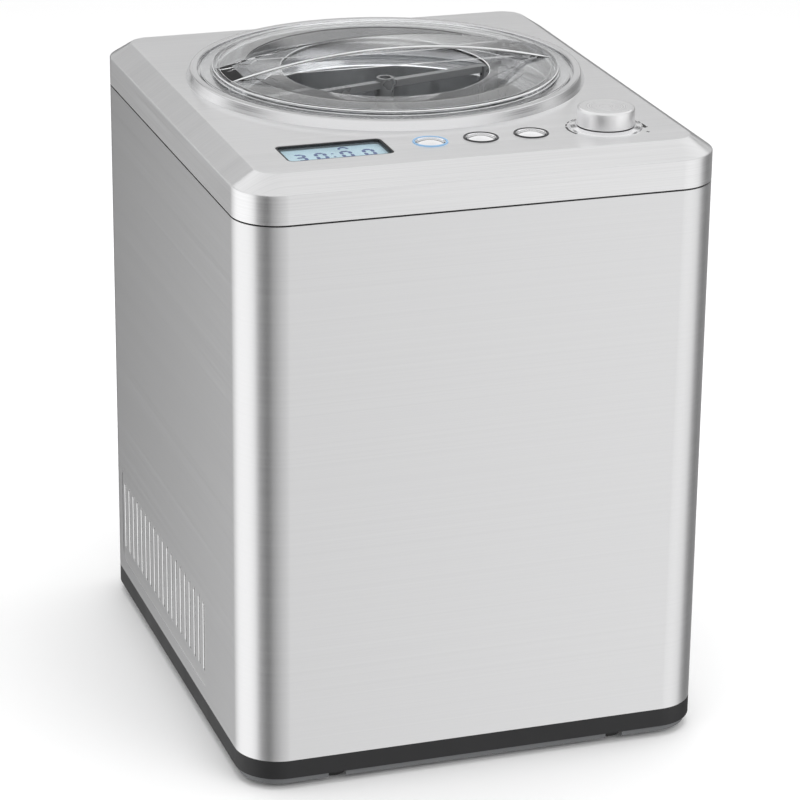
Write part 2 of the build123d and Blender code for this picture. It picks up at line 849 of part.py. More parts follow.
with BuildPart() as support_deck:
    with BuildSketch(Plane.XY.offset(deck_z)):
        Rectangle(2 * (width / 2 - shell_wall), deck_length)
        with Locations((0, bowl_y)):
            Circle(tower_radius + face_gap, mode=Mode.SUBTRACT)
        with Locations((return_x, return_y)):
            Circle(line_radius + face_gap, mode=Mode.SUBTRACT)
        with Locations((inlet_x, inlet_y)):
            Circle(capillary_radius + face_gap, mode=Mode.SUBTRACT)
        with Locations(*case_screw_points):
            Circle(rear_screw_radius + running_gap, mode=Mode.SUBTRACT)
    extrude(amount=deck_wall)
    flange_x = width / 2 - shell_wall - deck_wall / 2
    with BuildSketch(Plane.XY.offset(deck_z - deck_flange)):
        with Locations((flange_x, 0), (-flange_x, 0)):
            Rectangle(deck_wall, deck_length)
    extrude(amount=deck_flange)
save(support_deck, "support_deck")

with BuildPart() as gearbox_housing:
    with BuildSketch(Plane.XY.offset(gearbox_bottom)):
        gear_case_outline(gear_margin + gearbox_wall)
    extrude(amount=gearbox_cover_z - gearbox_bottom)
    with BuildSketch(Plane.XY.offset(gearbox_inside)):
        gear_case_outline(gear_margin)
    extrude(amount=gearbox_cover_z - gearbox_inside, mode=Mode.SUBTRACT)
    with BuildSketch(Plane.XY.offset(gearbox_inside)):
        with Locations(*case_screw_points):
            Circle(3.2)
    extrude(amount=gearbox_cover_z - gearbox_inside)
    with BuildSketch(Plane.XY.offset(gearbox_inside)):
        with Locations(*case_screw_points):
            Circle(rear_screw_radius + running_gap)
    extrude(amount=gearbox_cover_z - gearbox_inside, mode=Mode.SUBTRACT)
    with BuildSketch(Plane.XY.offset(gearbox_bottom)):
        with Locations((0, bowl_y)):
            Circle(bush_radius + running_gap)
        with Locations((motor_x, idler_y)):
            Circle(motor_shaft_radius + 1)
    extrude(amount=gearbox_floor, mode=Mode.SUBTRACT)
    with BuildSketch(Plane.XY.offset(gearbox_inside - 2)):
        with Locations((0, idler_y)):
            Circle(idler_pin_radius + running_gap)
    extrude(amount=2, mode=Mode.SUBTRACT)
save(gearbox_housing, "gearbox_housing")

with BuildPart() as gearbox_cover:
    with BuildSketch(Plane.XY.offset(gearbox_cover_z)):
        gear_case_outline(gear_margin + gearbox_wall)
    extrude(amount=gearbox_lid)
    with BuildSketch(at(0, bowl_y, gearbox_cover_z)):
        Circle(tower_radius)
    extrude(amount=tower_height)
    with BuildSketch(at(0, bowl_y, gearbox_cover_z)):
        Circle(bush_radius + running_gap)
    extrude(amount=tower_height, mode=Mode.SUBTRACT)
    with BuildSketch(Plane.XY.offset(gearbox_cover_z)):
        with Locations(*case_screw_points):
            Circle(rear_screw_radius + running_gap)
        with Locations((0, idler_y)):
            Circle(idler_pin_radius + running_gap)
    extrude(amount=gearbox_lid, mode=Mode.SUBTRACT)
save(gearbox_cover, "gearbox_cover")

with BuildPart() as gearbox_screws:
    with BuildSketch(Plane.XY.offset(deck_z + deck_wall)) as screw_heads:
        with Locations(*case_screw_points):
            Circle(rear_head_radius)
    extrude(amount=rear_screw_radius)
    with BuildSketch(Plane.XY.offset(gearbox_inside + 6)):
        with Locations(*case_screw_points):
            Circle(rear_screw_radius)
    extrude(amount=deck_z + deck_wall - gearbox_inside - 6)
save(gearbox_screws, "gearbox_screws")

with BuildPart() as shaft_bushes:
    with BuildSketch(at(0, bowl_y, gearbox_bottom)):
        Circle(bush_radius)
        Circle(shaft_radius + running_gap, mode=Mode.SUBTRACT)
    extrude(amount=gearbox_floor)
    with BuildSketch(at(0, bowl_y, gearbox_cover_z + 1)):
        Circle(bush_radius)
        Circle(shaft_radius + running_gap, mode=Mode.SUBTRACT)
    extrude(amount=tower_height - 1)
save(shaft_bushes, "shaft_bushes")

with BuildPart() as drive_shaft:
    with BuildSketch(at(0, bowl_y, shaft_bottom)):
        Circle(shaft_radius)
    extrude(amount=shaft_shoulder - shaft_bottom)
    with BuildSketch(at(0, bowl_y, shaft_shoulder)):
        half_round_flats(tip_radius, tip_flat)
    extrude(amount=tip_top - shaft_shoulder)
save(drive_shaft, "drive_shaft")

with BuildPart() as output_gear:
    with BuildSketch(at(0, bowl_y, output_gear_z)):
        with BuildLine():
            Polyline(*gear_points(output_teeth, output_module, -pi / 2), close=True)
        make_face()
        Circle(shaft_radius + press_fit, mode=Mode.SUBTRACT)
        with PolarLocations(output_tip * 0.55, 6):
            Circle(output_tip * 0.17, mode=Mode.SUBTRACT)
    extrude(amount=output_gear_width)
save(output_gear, "output_gear")

with BuildPart() as idler_gear:
    with BuildSketch(at(0, idler_y, input_gear_z)):
        with BuildLine():
            Polyline(*gear_points(idler_large_teeth, input_module, 0), close=True)
        make_face()
        Circle(idler_pin_radius + running_gap, mode=Mode.SUBTRACT)
    extrude(amount=input_gear_width)
    with BuildSketch(at(0, idler_y, input_gear_z + input_gear_width)):
        with BuildLine():
            small_phase = pi / 2 + pi / idler_small_teeth
            Polyline(*gear_points(idler_small_teeth, output_module, small_phase), close=True)
        make_face()
        Circle(idler_pin_radius + running_gap, mode=Mode.SUBTRACT)
    extrude(amount=output_gear_z + output_gear_width - input_gear_z - input_gear_width)
save(idler_gear, "idler_gear")

with BuildPart() as idler_pin:
    with BuildSketch(at(0, idler_y, gearbox_inside - 2)):
        Circle(idler_pin_radius)
    extrude(amount=gearbox_cover_z + gearbox_lid - gearbox_inside + 2)
save(idler_pin, "idler_pin")

motor_top = gearbox_bottom
motor_bottom = motor_top - motor_length

with BuildPart() as motor_can:
    with BuildSketch(at(motor_x, idler_y, motor_bottom)):
        Circle(motor_radius)
    extrude(amount=motor_length)
    with BuildSketch(at(motor_x, idler_y, motor_bottom + motor_wall)):
        Circle(motor_radius - motor_wall)
    extrude(amount=motor_length - 2 * motor_wall, mode=Mode.SUBTRACT)
    with BuildSketch(at(motor_x, idler_y, motor_top - motor_wall)):
        Circle(motor_shaft_radius + running_gap)
    extrude(amount=motor_wall, mode=Mode.SUBTRACT)
save(motor_can, "motor_can")

with BuildPart() as motor_armature:
    with BuildSketch(at(motor_x, idler_y, motor_bottom + motor_wall + 1)):
        Circle(motor_shaft_radius)
    extrude(amount=input_gear_z + input_gear_width + 3 - motor_bottom - motor_wall - 1)
    with BuildSketch(at(motor_x, idler_y, motor_bottom + motor_wall + 10)):
        Circle(armature_radius)
        with PolarLocations(armature_radius, 10):
            Rectangle(8, 2, mode=Mode.SUBTRACT)
    extrude(amount=armature_length)
save(motor_armature, "motor_armature")

with BuildPart() as motor_pinion:
    with BuildSketch(at(motor_x, idler_y, input_gear_z - 1)):
        with BuildLine():
            pinion_phase = pi + pi / pinion_teeth
            Polyline(*gear_points(pinion_teeth, input_module, pinion_phase), close=True)
        make_face()
        Circle(motor_shaft_radius + press_fit, mode=Mode.SUBTRACT)
    extrude(amount=input_gear_width + 2)
save(motor_pinion, "motor_pinion")

# ================================================================ refrigeration
mount_plate_z = compressor_bottom - mount_plate_wall
grommet_points = [
    (compressor_x + sx * (mount_plate_half - 9), compressor_y + sy * (compressor_radius - 9))
    for sx in (-1, 1)
    for sy in (-1, 1)
]

with BuildPart() as compressor_shell:
    with BuildSketch(at(compressor_x, compressor_y, compressor_bottom)):
        Circle(compressor_radius)
    extrude(amount=compressor_top - compressor_bottom)
    fillet(compressor_shell.edges().group_by(Axis.Z)[-1], compressor_fillet)
    with BuildSketch(at(compressor_x, compressor_y, compressor_bottom + compressor_wall)):
        Circle(compressor_radius - compressor_wall)
    inner_height = compressor_top - compressor_bottom - 2 * compressor_wall - compressor_fillet / 2
    extrude(amount=inner_height, mode=Mode.SUBTRACT)
    with BuildSketch(at(compressor_x, compressor_y, compressor_bottom + 52)):
        Circle(compressor_radius + 2)
        Circle(compressor_radius - 1, mode=Mode.SUBTRACT)
    extrude(amount=4)
    with BuildSketch(Plane.XY.offset(mount_plate_z)):
        with Locations((compressor_x, compressor_y)):
            RectangleRounded(2 * mount_plate_half, 2 * compressor_radius, 8)
        with Locations(*grommet_points):
            Circle(grommet_bore + fit_gap, mode=Mode.SUBTRACT)
    extrude(amount=mount_plate_wall)
save(compressor_shell, "compressor_shell")

with BuildPart() as compressor_pump:
    with BuildSketch(at(compressor_x, compressor_y, compressor_bottom + 14)):
        Circle(pump_radius)
    extrude(amount=pump_height)
    fillet(compressor_pump.edges().group_by(Axis.Z)[-1], 6)
save(compressor_pump, "compressor_pump")

with BuildPart() as compressor_grommets:
    with BuildSketch(Plane.XY.offset(floor_top)):
        with Locations(*grommet_points):
            Circle(grommet_radius)
            Circle(grommet_bore, mode=Mode.SUBTRACT)
    extrude(amount=mount_plate_z - floor_top)
save(compressor_grommets, "compressor_grommets")

with BuildPart() as compressor_bolts:
    with BuildSketch(Plane.XY.offset(floor_top)):
        with Locations(*grommet_points):
            Circle(grommet_bore - 0.2)
    extrude(amount=compressor_bottom - floor_top)
    with BuildSketch(Plane.XY.offset(compressor_bottom)):
        with Locations(*grommet_points):
            RegularPolygon(grommet_bore + 3, 6)
    extrude(amount=3)
save(compressor_bolts, "compressor_bolts")

relay_y = compressor_y - compressor_radius - 2 - face_gap

with BuildPart() as start_relay:
    with BuildSketch(Plane.XY.offset(compressor_bottom + 60)):
        with Locations((compressor_x, relay_y - 7)):
            RectangleRounded(38, 14, 3)
    extrude(amount=36)
save(start_relay, "start_relay")

with BuildPart() as condenser:
    with BuildSketch(at(condenser_x, condenser_y, condenser_z - condenser_height / 2)):
        Rectangle(condenser_thickness, condenser_length)
        fin_pitch = condenser_length / condenser_fins_count
        groove_x = (condenser_thickness - condenser_fin_depth) / 2
        with Locations((groove_x, 0), (-groove_x, 0)):
            with GridLocations(0, fin_pitch, 1, condenser_fins_count - 1):
                Rectangle(condenser_fin_depth, condenser_fin_gap, mode=Mode.SUBTRACT)
    extrude(amount=condenser_height)
    bend_pitch = condenser_height / condenser_rows
    for row in range(condenser_rows - 1):
        bend_end = 1 if row % 2 == 0 else -1
        bend_z = condenser_z - condenser_height / 2 + (row + 1) * bend_pitch
        bend_face = condenser_y + bend_end * condenser_length / 2
        bend_start = (condenser_x, bend_face, bend_z - bend_pitch / 2)
        with BuildLine() as bend_path:
            ThreePointArc(
                bend_start,
                (condenser_x, bend_face + bend_end * bend_pitch / 2, bend_z),
                (condenser_x, bend_face, bend_z + bend_pitch / 2),
            )
        with BuildSketch(Plane(bend_start, z_dir=(0, bend_end, 0))):
            Circle(line_radius)
        sweep(path=bend_path.line)
save(condenser, "condenser")

shroud_x = condenser_x + condenser_thickness / 2
fan_y = condenser_y
fan_z = condenser_z
shroud_plane = Plane((shroud_x, fan_y, fan_z), x_dir=(0, 1, 0), z_dir=(1, 0, 0))
duct_outer = fan_duct_radius + shroud_wall
fan_start = 5.0
strut_offset = shroud_wall + shroud_depth

with BuildPart() as fan_shroud:
    with BuildSketch(shroud_plane):
        Rectangle(condenser_length, condenser_height)
        Circle(fan_duct_radius, mode=Mode.SUBTRACT)
    extrude(amount=shroud_wall)
    with BuildSketch(shroud_plane.offset(shroud_wall)):
        Circle(duct_outer)
        Circle(fan_duct_radius, mode=Mode.SUBTRACT)
    extrude(amount=shroud_depth)
    with BuildSketch(shroud_plane.offset(strut_offset - shroud_wall)):
        Circle(fan_motor_radius + 2)
        with PolarLocations(duct_outer / 2, 4, start_angle=45):
            Rectangle(duct_outer, 5)
        Circle(fan_shaft_radius + 1, mode=Mode.SUBTRACT)
        with BuildSketch(mode=Mode.PRIVATE) as beyond_duct:
            Circle(duct_outer + 20)
            Circle(duct_outer - shroud_wall / 2, mode=Mode.SUBTRACT)
        add(beyond_duct.sketch, mode=Mode.SUBTRACT)
    extrude(amount=shroud_wall)
save(fan_shroud, "fan_shroud")

with BuildPart() as fan_motor:
    with BuildSketch(shroud_plane.offset(strut_offset)):
        Circle(fan_motor_radius)
    extrude(amount=fan_motor_length)
    with BuildSketch(shroud_plane.offset(strut_offset)):
        Circle(fan_shaft_radius + running_gap)
    extrude(amount=fan_motor_length - 3, mode=Mode.SUBTRACT)
save(fan_motor, "fan_motor")

with BuildPart() as fan_shaft:
    with BuildSketch(shroud_plane.offset(fan_start + 2)):
        Circle(fan_shaft_radius)
    extrude(amount=strut_offset + fan_motor_length - 4 - fan_start - 2)
save(fan_shaft, "fan_shaft")

with BuildPart() as fan_blade:
    with BuildSketch(shroud_plane.offset(fan_start)):
        Circle(fan_hub_radius)
    extrude(amount=fan_hub_length)
    blade_radius = (fan_radius + fan_hub_radius) / 2 - 1
    blade_x = shroud_x + fan_start + fan_hub_length / 2
    for blade in range(fan_blades):
        turn = 2 * pi * blade / fan_blades
        outward = Vector(0, cos(turn), sin(turn))
        around = Vector(0, -sin(turn), cos(turn))
        facing = Vector(1, 0, 0) * cos(fan_blade_pitch) + around * sin(fan_blade_pitch)
        middle = Vector(blade_x, fan_y, fan_z) + outward * blade_radius
        with BuildSketch(Plane(middle, x_dir=outward, z_dir=facing)):
            RectangleRounded(fan_radius - fan_hub_radius + 2, fan_blade_chord, 5)
        extrude(amount=fan_blade_wall / 2, both=True)
    with BuildSketch(shroud_plane.offset(fan_start + 2)):
        Circle(fan_shaft_radius + press_fit)
    extrude(amount=fan_hub_length, mode=Mode.SUBTRACT)
save(fan_blade, "fan_blade")


def tube(path_points, bend, radius):
    """A round tube along straight runs joined by tangent arcs."""
    with BuildPart() as pipe:
        with BuildLine() as route:
            FilletPolyline(*path_points, radius=bend)
        with BuildSketch(Plane(origin=route.line @ 0, z_dir=route.line % 0)):
            Circle(radius)
        sweep(path=route.line)
    return pipe


compressor_back = compressor_y + compressor_radius
condenser_back = condenser_y + condenser_length / 2
condenser_line_top = condenser_z + condenser_height / 2 - 6
condenser_line_bottom = condenser_z - condenser_height / 2 + 6
outer_run_y = compressor_back + 12
discharge_z = 112.0

discharge_line = tube(
    [
        (compressor_x, compressor_back + 0.2, discharge_z),
        (compressor_x, outer_run_y, discharge_z),
        (condenser_x, outer_run_y, discharge_z),
        (condenser_x, outer_run_y, condenser_line_top),
        (condenser_x, condenser_back, condenser_line_top),
    ],
    line_bend - 1,
    line_radius,
)
save(discharge_line, "discharge_line")

liquid_line = tube(
    [
        (condenser_x, condenser_back, condenser_line_bottom),
        (condenser_x, outer_run_y, condenser_line_bottom),
        (inlet_x, outer_run_y, condenser_line_bottom),
        (inlet_x, inlet_y, condenser_line_bottom),
        (inlet_x, inlet_y, drier_bottom),
    ],
    line_bend,
    line_radius,
)
save(liquid_line, "liquid_line")

with BuildPart() as filter_drier:
    with BuildSketch(at(inlet_x, inlet_y, drier_bottom)):
        Circle(drier_radius)
    extrude(amount=drier_length)
    chamfer(filter_drier.edges().group_by(Axis.Z)[-1], 5)
    chamfer(filter_drier.edges().group_by(Axis.Z)[0], 5)
    with BuildSketch(at(inlet_x, inlet_y, drier_bottom + drier_length)):
        Circle(capillary_radius)
    extrude(amount=coil_bottom - coil_tube_radius - 1.5 - drier_bottom - drier_length)
save(filter_drier, "filter_drier")

with BuildPart() as suction_line:
    with BuildSketch(at(return_x, return_y, compressor_top)):
        Circle(line_radius)
    extrude(amount=coil_top - compressor_top)
save(suction_line, "suction_line")

# ================================================================ control panel
lens_top = plate_top - display_recess
lens_bottom = lens_top - lens_thickness
frame_outer_width = display_width + 2 * display_lip
frame_outer_depth = display_depth + 2 * display_lip
frame_bottom = plate_underside - display_flange_height

with BuildPart() as display_frame:
    with BuildSketch(at(display_x, control_y, frame_bottom)):
        flange_width = frame_outer_width + 2 * display_flange
        flange_depth = frame_outer_depth + 2 * display_flange
        RectangleRounded(flange_width, flange_depth, display_radius)
    extrude(amount=display_flange_height)
    with BuildSketch(at(display_x, control_y, plate_underside)):
        rim_width = frame_outer_width - 2 * display_gap
        rim_depth = frame_outer_depth - 2 * display_gap
        RectangleRounded(rim_width, rim_depth, display_radius + display_lip)
    extrude(amount=cap_wall - 2 * display_gap)
    with BuildSketch(at(display_x, control_y, frame_bottom)):
        RectangleRounded(display_width, display_depth, display_radius)
    extrude(amount=plate_top - frame_bottom, mode=Mode.SUBTRACT)
save(display_frame, "display_frame")

lens_width = display_width - 2 * display_gap
lens_depth = display_depth - 2 * display_gap

with BuildPart() as display_lens:
    with BuildSketch(at(display_x, control_y, lens_bottom)):
        RectangleRounded(lens_width, lens_depth, display_radius)
    extrude(amount=lens_thickness)
save(display_lens, "display_lens")

with BuildPart() as lcd_module:
    with BuildSketch(at(display_x, control_y, lens_bottom - lcd_height)):
        RectangleRounded(lens_width, lens_depth, display_radius)
    extrude(amount=lcd_height - display_gap)
save(lcd_module, "lcd_module")

switch_top = board_top + switch_height
button_bottom = switch_top + button_travel + 0.2
button_face = plate_top + button_ring_rise
button_foot_top = button_bottom + 1.4
ring_bottom = plate_underside - 1.5
button_names = ("power_button", "menu_button", "start_button")


def ring_solid(places):
    """Raised rings that guide the buttons, one at each place along the panel."""
    with BuildPart() as rings:
        for x in places:
            with BuildSketch(at(x, control_y, plate_top)):
                Circle(button_ring_radius)
            extrude(amount=button_ring_rise, taper=30)
            with BuildSketch(at(x, control_y, ring_bottom)):
                Circle(button_foot_radius + fit_gap - 0.1)
            extrude(amount=plate_top - ring_bottom)
            with BuildSketch(at(x, control_y, ring_bottom)):
                Circle(button_ring_bore)
            extrude(amount=button_face - ring_bottom, mode=Mode.SUBTRACT)
    return rings


save(ring_solid(button_x[:1]), "power_light_ring")
save(ring_solid(button_x[1:]), "button_rings")

crown_edge = button_face - button_edge_drop
crown_radius = (button_radius**2 + button_crown**2) / (2 * button_crown)
crown_half = button_crown - crown_radius + (crown_radius**2 - button_radius**2 / 4) ** 0.5

for x, name in zip(button_x, button_names):
    with BuildPart() as button:
        with BuildSketch(Plane((x, control_y, 0), x_dir=(1, 0, 0), z_dir=(0, -1, 0))):
            with BuildLine():
                crown = ThreePointArc(
                    (button_radius, crown_edge),
                    (button_radius / 2, crown_edge + crown_half),
                    (0, crown_edge + button_crown),
                )
                Polyline(
                    crown @ 1,
                    (0, button_bottom),
                    (button_foot_radius - 1, button_bottom),
                    (button_foot_radius - 1, button_foot_top),
                    (button_radius, button_foot_top),
                    crown @ 0,
                )
            make_face()
        revolve(axis=Axis((x, control_y, 0), (0, 0, 1)))
    save(button, name)

with BuildPart() as control_board:
    with BuildSketch(Plane.XY.offset(board_z)):
        with Locations((0, control_y)):
            Rectangle(board_width, board_depth)
        with Locations((knob_x, control_y)):
            Circle(board_shaft_hole, mode=Mode.SUBTRACT)
    extrude(amount=board_wall)
save(control_board, "control_board")

with BuildPart() as tact_switches:
    with BuildSketch(Plane.XY.offset(board_top)):
        with Locations(*[(x, control_y) for x in button_x]):
            Rectangle(switch_side, switch_side)
    extrude(amount=switch_height - switch_plunger_height)
    with BuildSketch(Plane.XY.offset(board_top)):
        with Locations(*[(x, control_y) for x in button_x]):
            Circle(switch_plunger_radius)
    extrude(amount=switch_height)
save(tact_switches, "tact_switches")

encoder_body_top = board_top + encoder_body_height
encoder_nose_top = encoder_body_top + encoder_nose_length
encoder_bore_bottom = board_top + 1
encoder_shaft_bottom = board_top + encoder_end_gap
knob_bottom = knob_flange_top + knob_lift
knob_hub_bottom = plate_top + knob_hub_rise
knob_ceiling = knob_top - knob_wall

with BuildPart() as encoder_body:
    with BuildSketch(at(knob_x, control_y, board_top)):
        Rectangle(encoder_body_side, encoder_body_side)
    extrude(amount=encoder_body_height)
    with BuildSketch(at(knob_x, control_y, encoder_body_top)):
        Circle(encoder_nose_radius)
    extrude(amount=encoder_nose_length)
    with BuildSketch(at(knob_x, control_y, encoder_bore_bottom)):
        Circle(encoder_shaft_radius + running_gap)
    extrude(amount=encoder_nose_top - encoder_bore_bottom, mode=Mode.SUBTRACT)
save(encoder_body, "encoder_body")

with BuildPart() as encoder_shaft:
    with BuildSketch(at(knob_x, control_y, encoder_shaft_bottom)):
        Circle(encoder_shaft_radius)
    extrude(amount=knob_ceiling - 2 - encoder_shaft_bottom)
save(encoder_shaft, "encoder_shaft")

with BuildPart() as knob_flange:
    with BuildSketch(Plane((knob_x, control_y, 0), x_dir=(1, 0, 0), z_dir=(0, -1, 0))):
        with BuildLine():
            Polyline(
                (knob_flange_radius, plate_top),
                (knob_flange_radius - 0.6, plate_top + knob_flange_height * 0.6),
                (knob_radius + 0.8, knob_flange_top),
                (knob_hub_radius + 2.5, knob_flange_top),
                (knob_hub_radius + 2.5, plate_underside - 1),
                (knob_spigot_radius, plate_underside - 1),
                (knob_spigot_radius, plate_top),
                close=True,
            )
        make_face()
    revolve(axis=Axis((knob_x, control_y, 0), (0, 0, 1)))
save(knob_flange, "knob_flange")

with BuildPart() as control_knob:
    with BuildSketch(Plane((knob_x, control_y, 0), x_dir=(1, 0, 0), z_dir=(0, -1, 0))):
        with BuildLine():
            Polyline(
                (knob_radius, knob_bottom),
                (knob_radius - 0.5, knob_top - 1.8),
                (knob_top_radius - 0.6, knob_top),
                (encoder_shaft_radius + press_fit, knob_top),
                (0, knob_top),
                (0, knob_ceiling - 1.8),
                (encoder_shaft_radius + press_fit, knob_ceiling - 1.8),
                (encoder_shaft_radius + press_fit, knob_hub_bottom),
                (knob_hub_radius, knob_hub_bottom),
                (knob_hub_radius, knob_ceiling),
                (knob_radius - knob_wall - 0.5, knob_ceiling),
                (knob_radius - knob_wall, knob_bottom),
                close=True,
            )
        make_face()
    revolve(axis=Axis((knob_x, control_y, 0), (0, 0, 1)))
    fillet(control_knob.edges().group_by(Axis.Z)[-1], knob_top_round)
save(control_knob, "control_knob")

# ================================================================ power electronics
board_plane = Plane((power_board_x, 0, 0), x_dir=(0, 1, 0), z_dir=(1, 0, 0))
power_board_middle = power_board_bottom + power_board_height / 2

with BuildPart() as power_board:
    with BuildSketch(board_plane):
        with Locations((power_board_y, power_board_middle)):
            Rectangle(power_board_length, power_board_height)
    extrude(amount=board_wall)
    with BuildSketch(board_plane):
        with Locations((power_board_y - 24, power_board_bottom + 24)):
            Circle(9)
        with Locations((power_board_y - 24, power_board_bottom + 50)):
            Circle(9)
        with Locations((power_board_y + 8, power_board_bottom + 92)):
            Circle(6)
        with Locations((power_board_y - 22, power_board_bottom + 92)):
            Rectangle(18, 24)
    extrude(amount=-22)
save(power_board, "power_board")

with BuildPart() as transformer:
    with BuildSketch(board_plane):
        with Locations((power_board_y + 16, power_board_bottom + 28)):
            Rectangle(38, 34)
    extrude(amount=-30)
    with BuildSketch(board_plane.offset(-5)):
        with Locations((power_board_y + 16, power_board_bottom + 28)):
            Rectangle(44, 20)
    extrude(amount=-20)
save(transformer, "transformer")
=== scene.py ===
"""Looks for a countertop compressor ice cream maker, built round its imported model.

The file is laid out as an add-on and is run as a script. Every operator makes one
piece, or one group of like pieces, and the panel lists them in the order they run.
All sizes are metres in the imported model's own frame: the floor is z = 0, the front
faces -Y and +X is to the right.
"""
import json
from math import cos, pi, radians, sin, tan

import bmesh
import bpy
from mathutils import Matrix, Vector


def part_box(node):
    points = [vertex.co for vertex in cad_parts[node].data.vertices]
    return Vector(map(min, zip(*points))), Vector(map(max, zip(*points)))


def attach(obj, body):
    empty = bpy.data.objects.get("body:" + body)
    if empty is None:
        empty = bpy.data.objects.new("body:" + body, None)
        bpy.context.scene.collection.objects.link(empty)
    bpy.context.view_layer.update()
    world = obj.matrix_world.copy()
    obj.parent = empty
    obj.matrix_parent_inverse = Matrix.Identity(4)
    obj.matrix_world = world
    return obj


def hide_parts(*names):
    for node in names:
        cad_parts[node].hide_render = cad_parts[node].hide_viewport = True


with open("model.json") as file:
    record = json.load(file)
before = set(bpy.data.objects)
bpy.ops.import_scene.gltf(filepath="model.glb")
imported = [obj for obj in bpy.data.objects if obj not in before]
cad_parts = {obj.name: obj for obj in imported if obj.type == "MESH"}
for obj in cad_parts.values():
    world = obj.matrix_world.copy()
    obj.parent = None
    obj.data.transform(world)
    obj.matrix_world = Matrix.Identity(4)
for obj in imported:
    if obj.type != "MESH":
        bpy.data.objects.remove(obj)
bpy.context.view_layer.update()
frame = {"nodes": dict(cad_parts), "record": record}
NODES = frame["nodes"]
HOUSING = "housing"

bl_info = {
    "name": "Ice Cream Maker Looks",
    "version": (1, 0, 0),
    "blender": (4, 5, 0),
    "location": "View3D > Sidebar > Ice Cream Maker",
    "description": "Builds the visible pieces and finishes of a countertop ice cream maker",
    "category": "Object",
}


# ---------------------------------------------------------------- sizes and colours
def length(name, description, default):
    return bpy.props.FloatProperty(name=name, description=description, default=default,
                                   unit="LENGTH")


def colour(name, description, default):
    return bpy.props.FloatVectorProperty(name=name, description=description,
                                         default=default, subtype="COLOR", size=3)


class IceCreamSizes(bpy.types.PropertyGroup):
    """Sizes of the visible pieces."""

    corner_radius: length("Corner Radius", "Radius of the housing's upright corners", 0.026)
    moulded_round: length("Moulded Rounding", "Rounding of moulded plastic edges", 0.0005)
    pressed_round: length("Pressed Rounding", "Rounding of the cap's bent edges", 0.0016)
    bevel_inset: length("Bevel Inset", "How far the cap's bevel runs inwards", 0.0131)
    bevel_height: length("Bevel Height", "How far the cap's bevel drops", 0.0084)
    cap_wall: length("Cap Wall", "Thickness of the cap", 0.002)
    lid_wall: length("Lid Wall", "Thickness of the clear lid", 0.0022)
    bowl_wall: length("Bowl Wall", "Thickness of the bowl", 0.0014)
    corner_steps: bpy.props.IntProperty(
        name="Corner Steps", description="Faces round each upright corner", default=20)
    round_steps: bpy.props.IntProperty(
        name="Round Steps", description="Faces round a turned piece", default=192)
    vent_count: bpy.props.IntProperty(
        name="Vent Slots", description="Slots in each side wall", default=19)
    vent_pitch: length("Vent Pitch", "Distance between side slots", 0.0106)
    vent_width: length("Vent Slot Width", "Width of a slot", 0.0034)
    vent_height: length("Vent Slot Height", "Length of a slot", 0.046)
    vent_lip: length("Vent Lip Depth", "How far a slot's lip turns inwards", 0.0026)
    roll_radius: length("Roll Radius", "Radius of the rolled edge behind a slot", 0.00085)
    rear_vent_count: bpy.props.IntProperty(
        name="Rear Slots", description="Slots in the rear panel", default=15)
    rear_vent_pitch: length("Rear Pitch", "Distance between rear slots", 0.011)


class IceCreamColours(bpy.types.PropertyGroup):
    """Base colours of the finishes."""

    case_steel: colour("Case Steel", "Brushed stainless case", (0.78, 0.78, 0.785))
    cap_steel: colour("Cap Steel", "Brushed top cap", (0.86, 0.86, 0.865))
    black_plastic: colour("Black Plastic", "Base band and frame", (0.012, 0.012, 0.013))
    clear_plastic: colour("Clear Plastic", "Lid tint", (0.97, 0.975, 0.98))
    display_light: colour("Display Light", "Lit display background", (0.36, 0.49, 0.55))
    digit_ink: colour("Digit Ink", "Display digits", (0.01, 0.025, 0.16))
    ring_light: colour("Power Ring Light", "Lit ring round the power button",
                       (0.2, 0.36, 0.55))


def sizes():
    """The size values set in the panel."""
    return bpy.context.scene.ice_cream_sizes


def colours():
    """The colour values set in the panel."""
    return bpy.context.scene.ice_cream_colours


# ---------------------------------------------------------------- mesh helpers
def centre_of(node):
    """The middle of a node's box."""
    low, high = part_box(node)
    return (low + high) / 2


BOWL_AXIS = centre_of("drive_shaft")
KNOB_AXIS = centre_of("control_knob")


def link(name, mesh):
    """A new object at the origin holding the mesh."""
    piece = bpy.data.objects.new(name, mesh)
    bpy.context.scene.collection.objects.link(piece)
    return piece


def mesh_from(bm, name):
    """A plain mesh from a bmesh, which is freed."""
    mesh = bpy.data.meshes.new(name)
    bm.to_mesh(mesh)
    bm.free()
    return mesh


def baked(piece):
    """The piece with its modifiers turned into plain mesh."""
    graph = bpy.context.evaluated_depsgraph_get()
    graph.update()
    mesh = bpy.data.meshes.new_from_object(piece.evaluated_get(graph), depsgraph=graph)
    piece.modifiers.clear()
    piece.data = mesh
    return piece


def smooth(piece, sharp_degrees=35):
    """Shade smoothly with crisp edges, flats keeping their own direction."""
    piece.data.shade_smooth()
    piece.data.set_sharp_from_angle(angle=radians(sharp_degrees))
    even = piece.modifiers.new("Even Shading", "WEIGHTED_NORMAL")
    even.keep_sharp = True
    return piece


def finish(piece, body, materials, replaces=()):
    """Give a piece its materials and body, and hide the nodes it replaces."""
    chosen = [face.material_index for face in piece.data.polygons]
    piece.data.materials.clear()
    for entry in materials:
        piece.data.materials.append(entry)
    if len(materials) > 1:
        piece.data.polygons.foreach_set("material_index", chosen)
    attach(piece, body)
    if replaces:
        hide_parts(*replaces)
    return piece


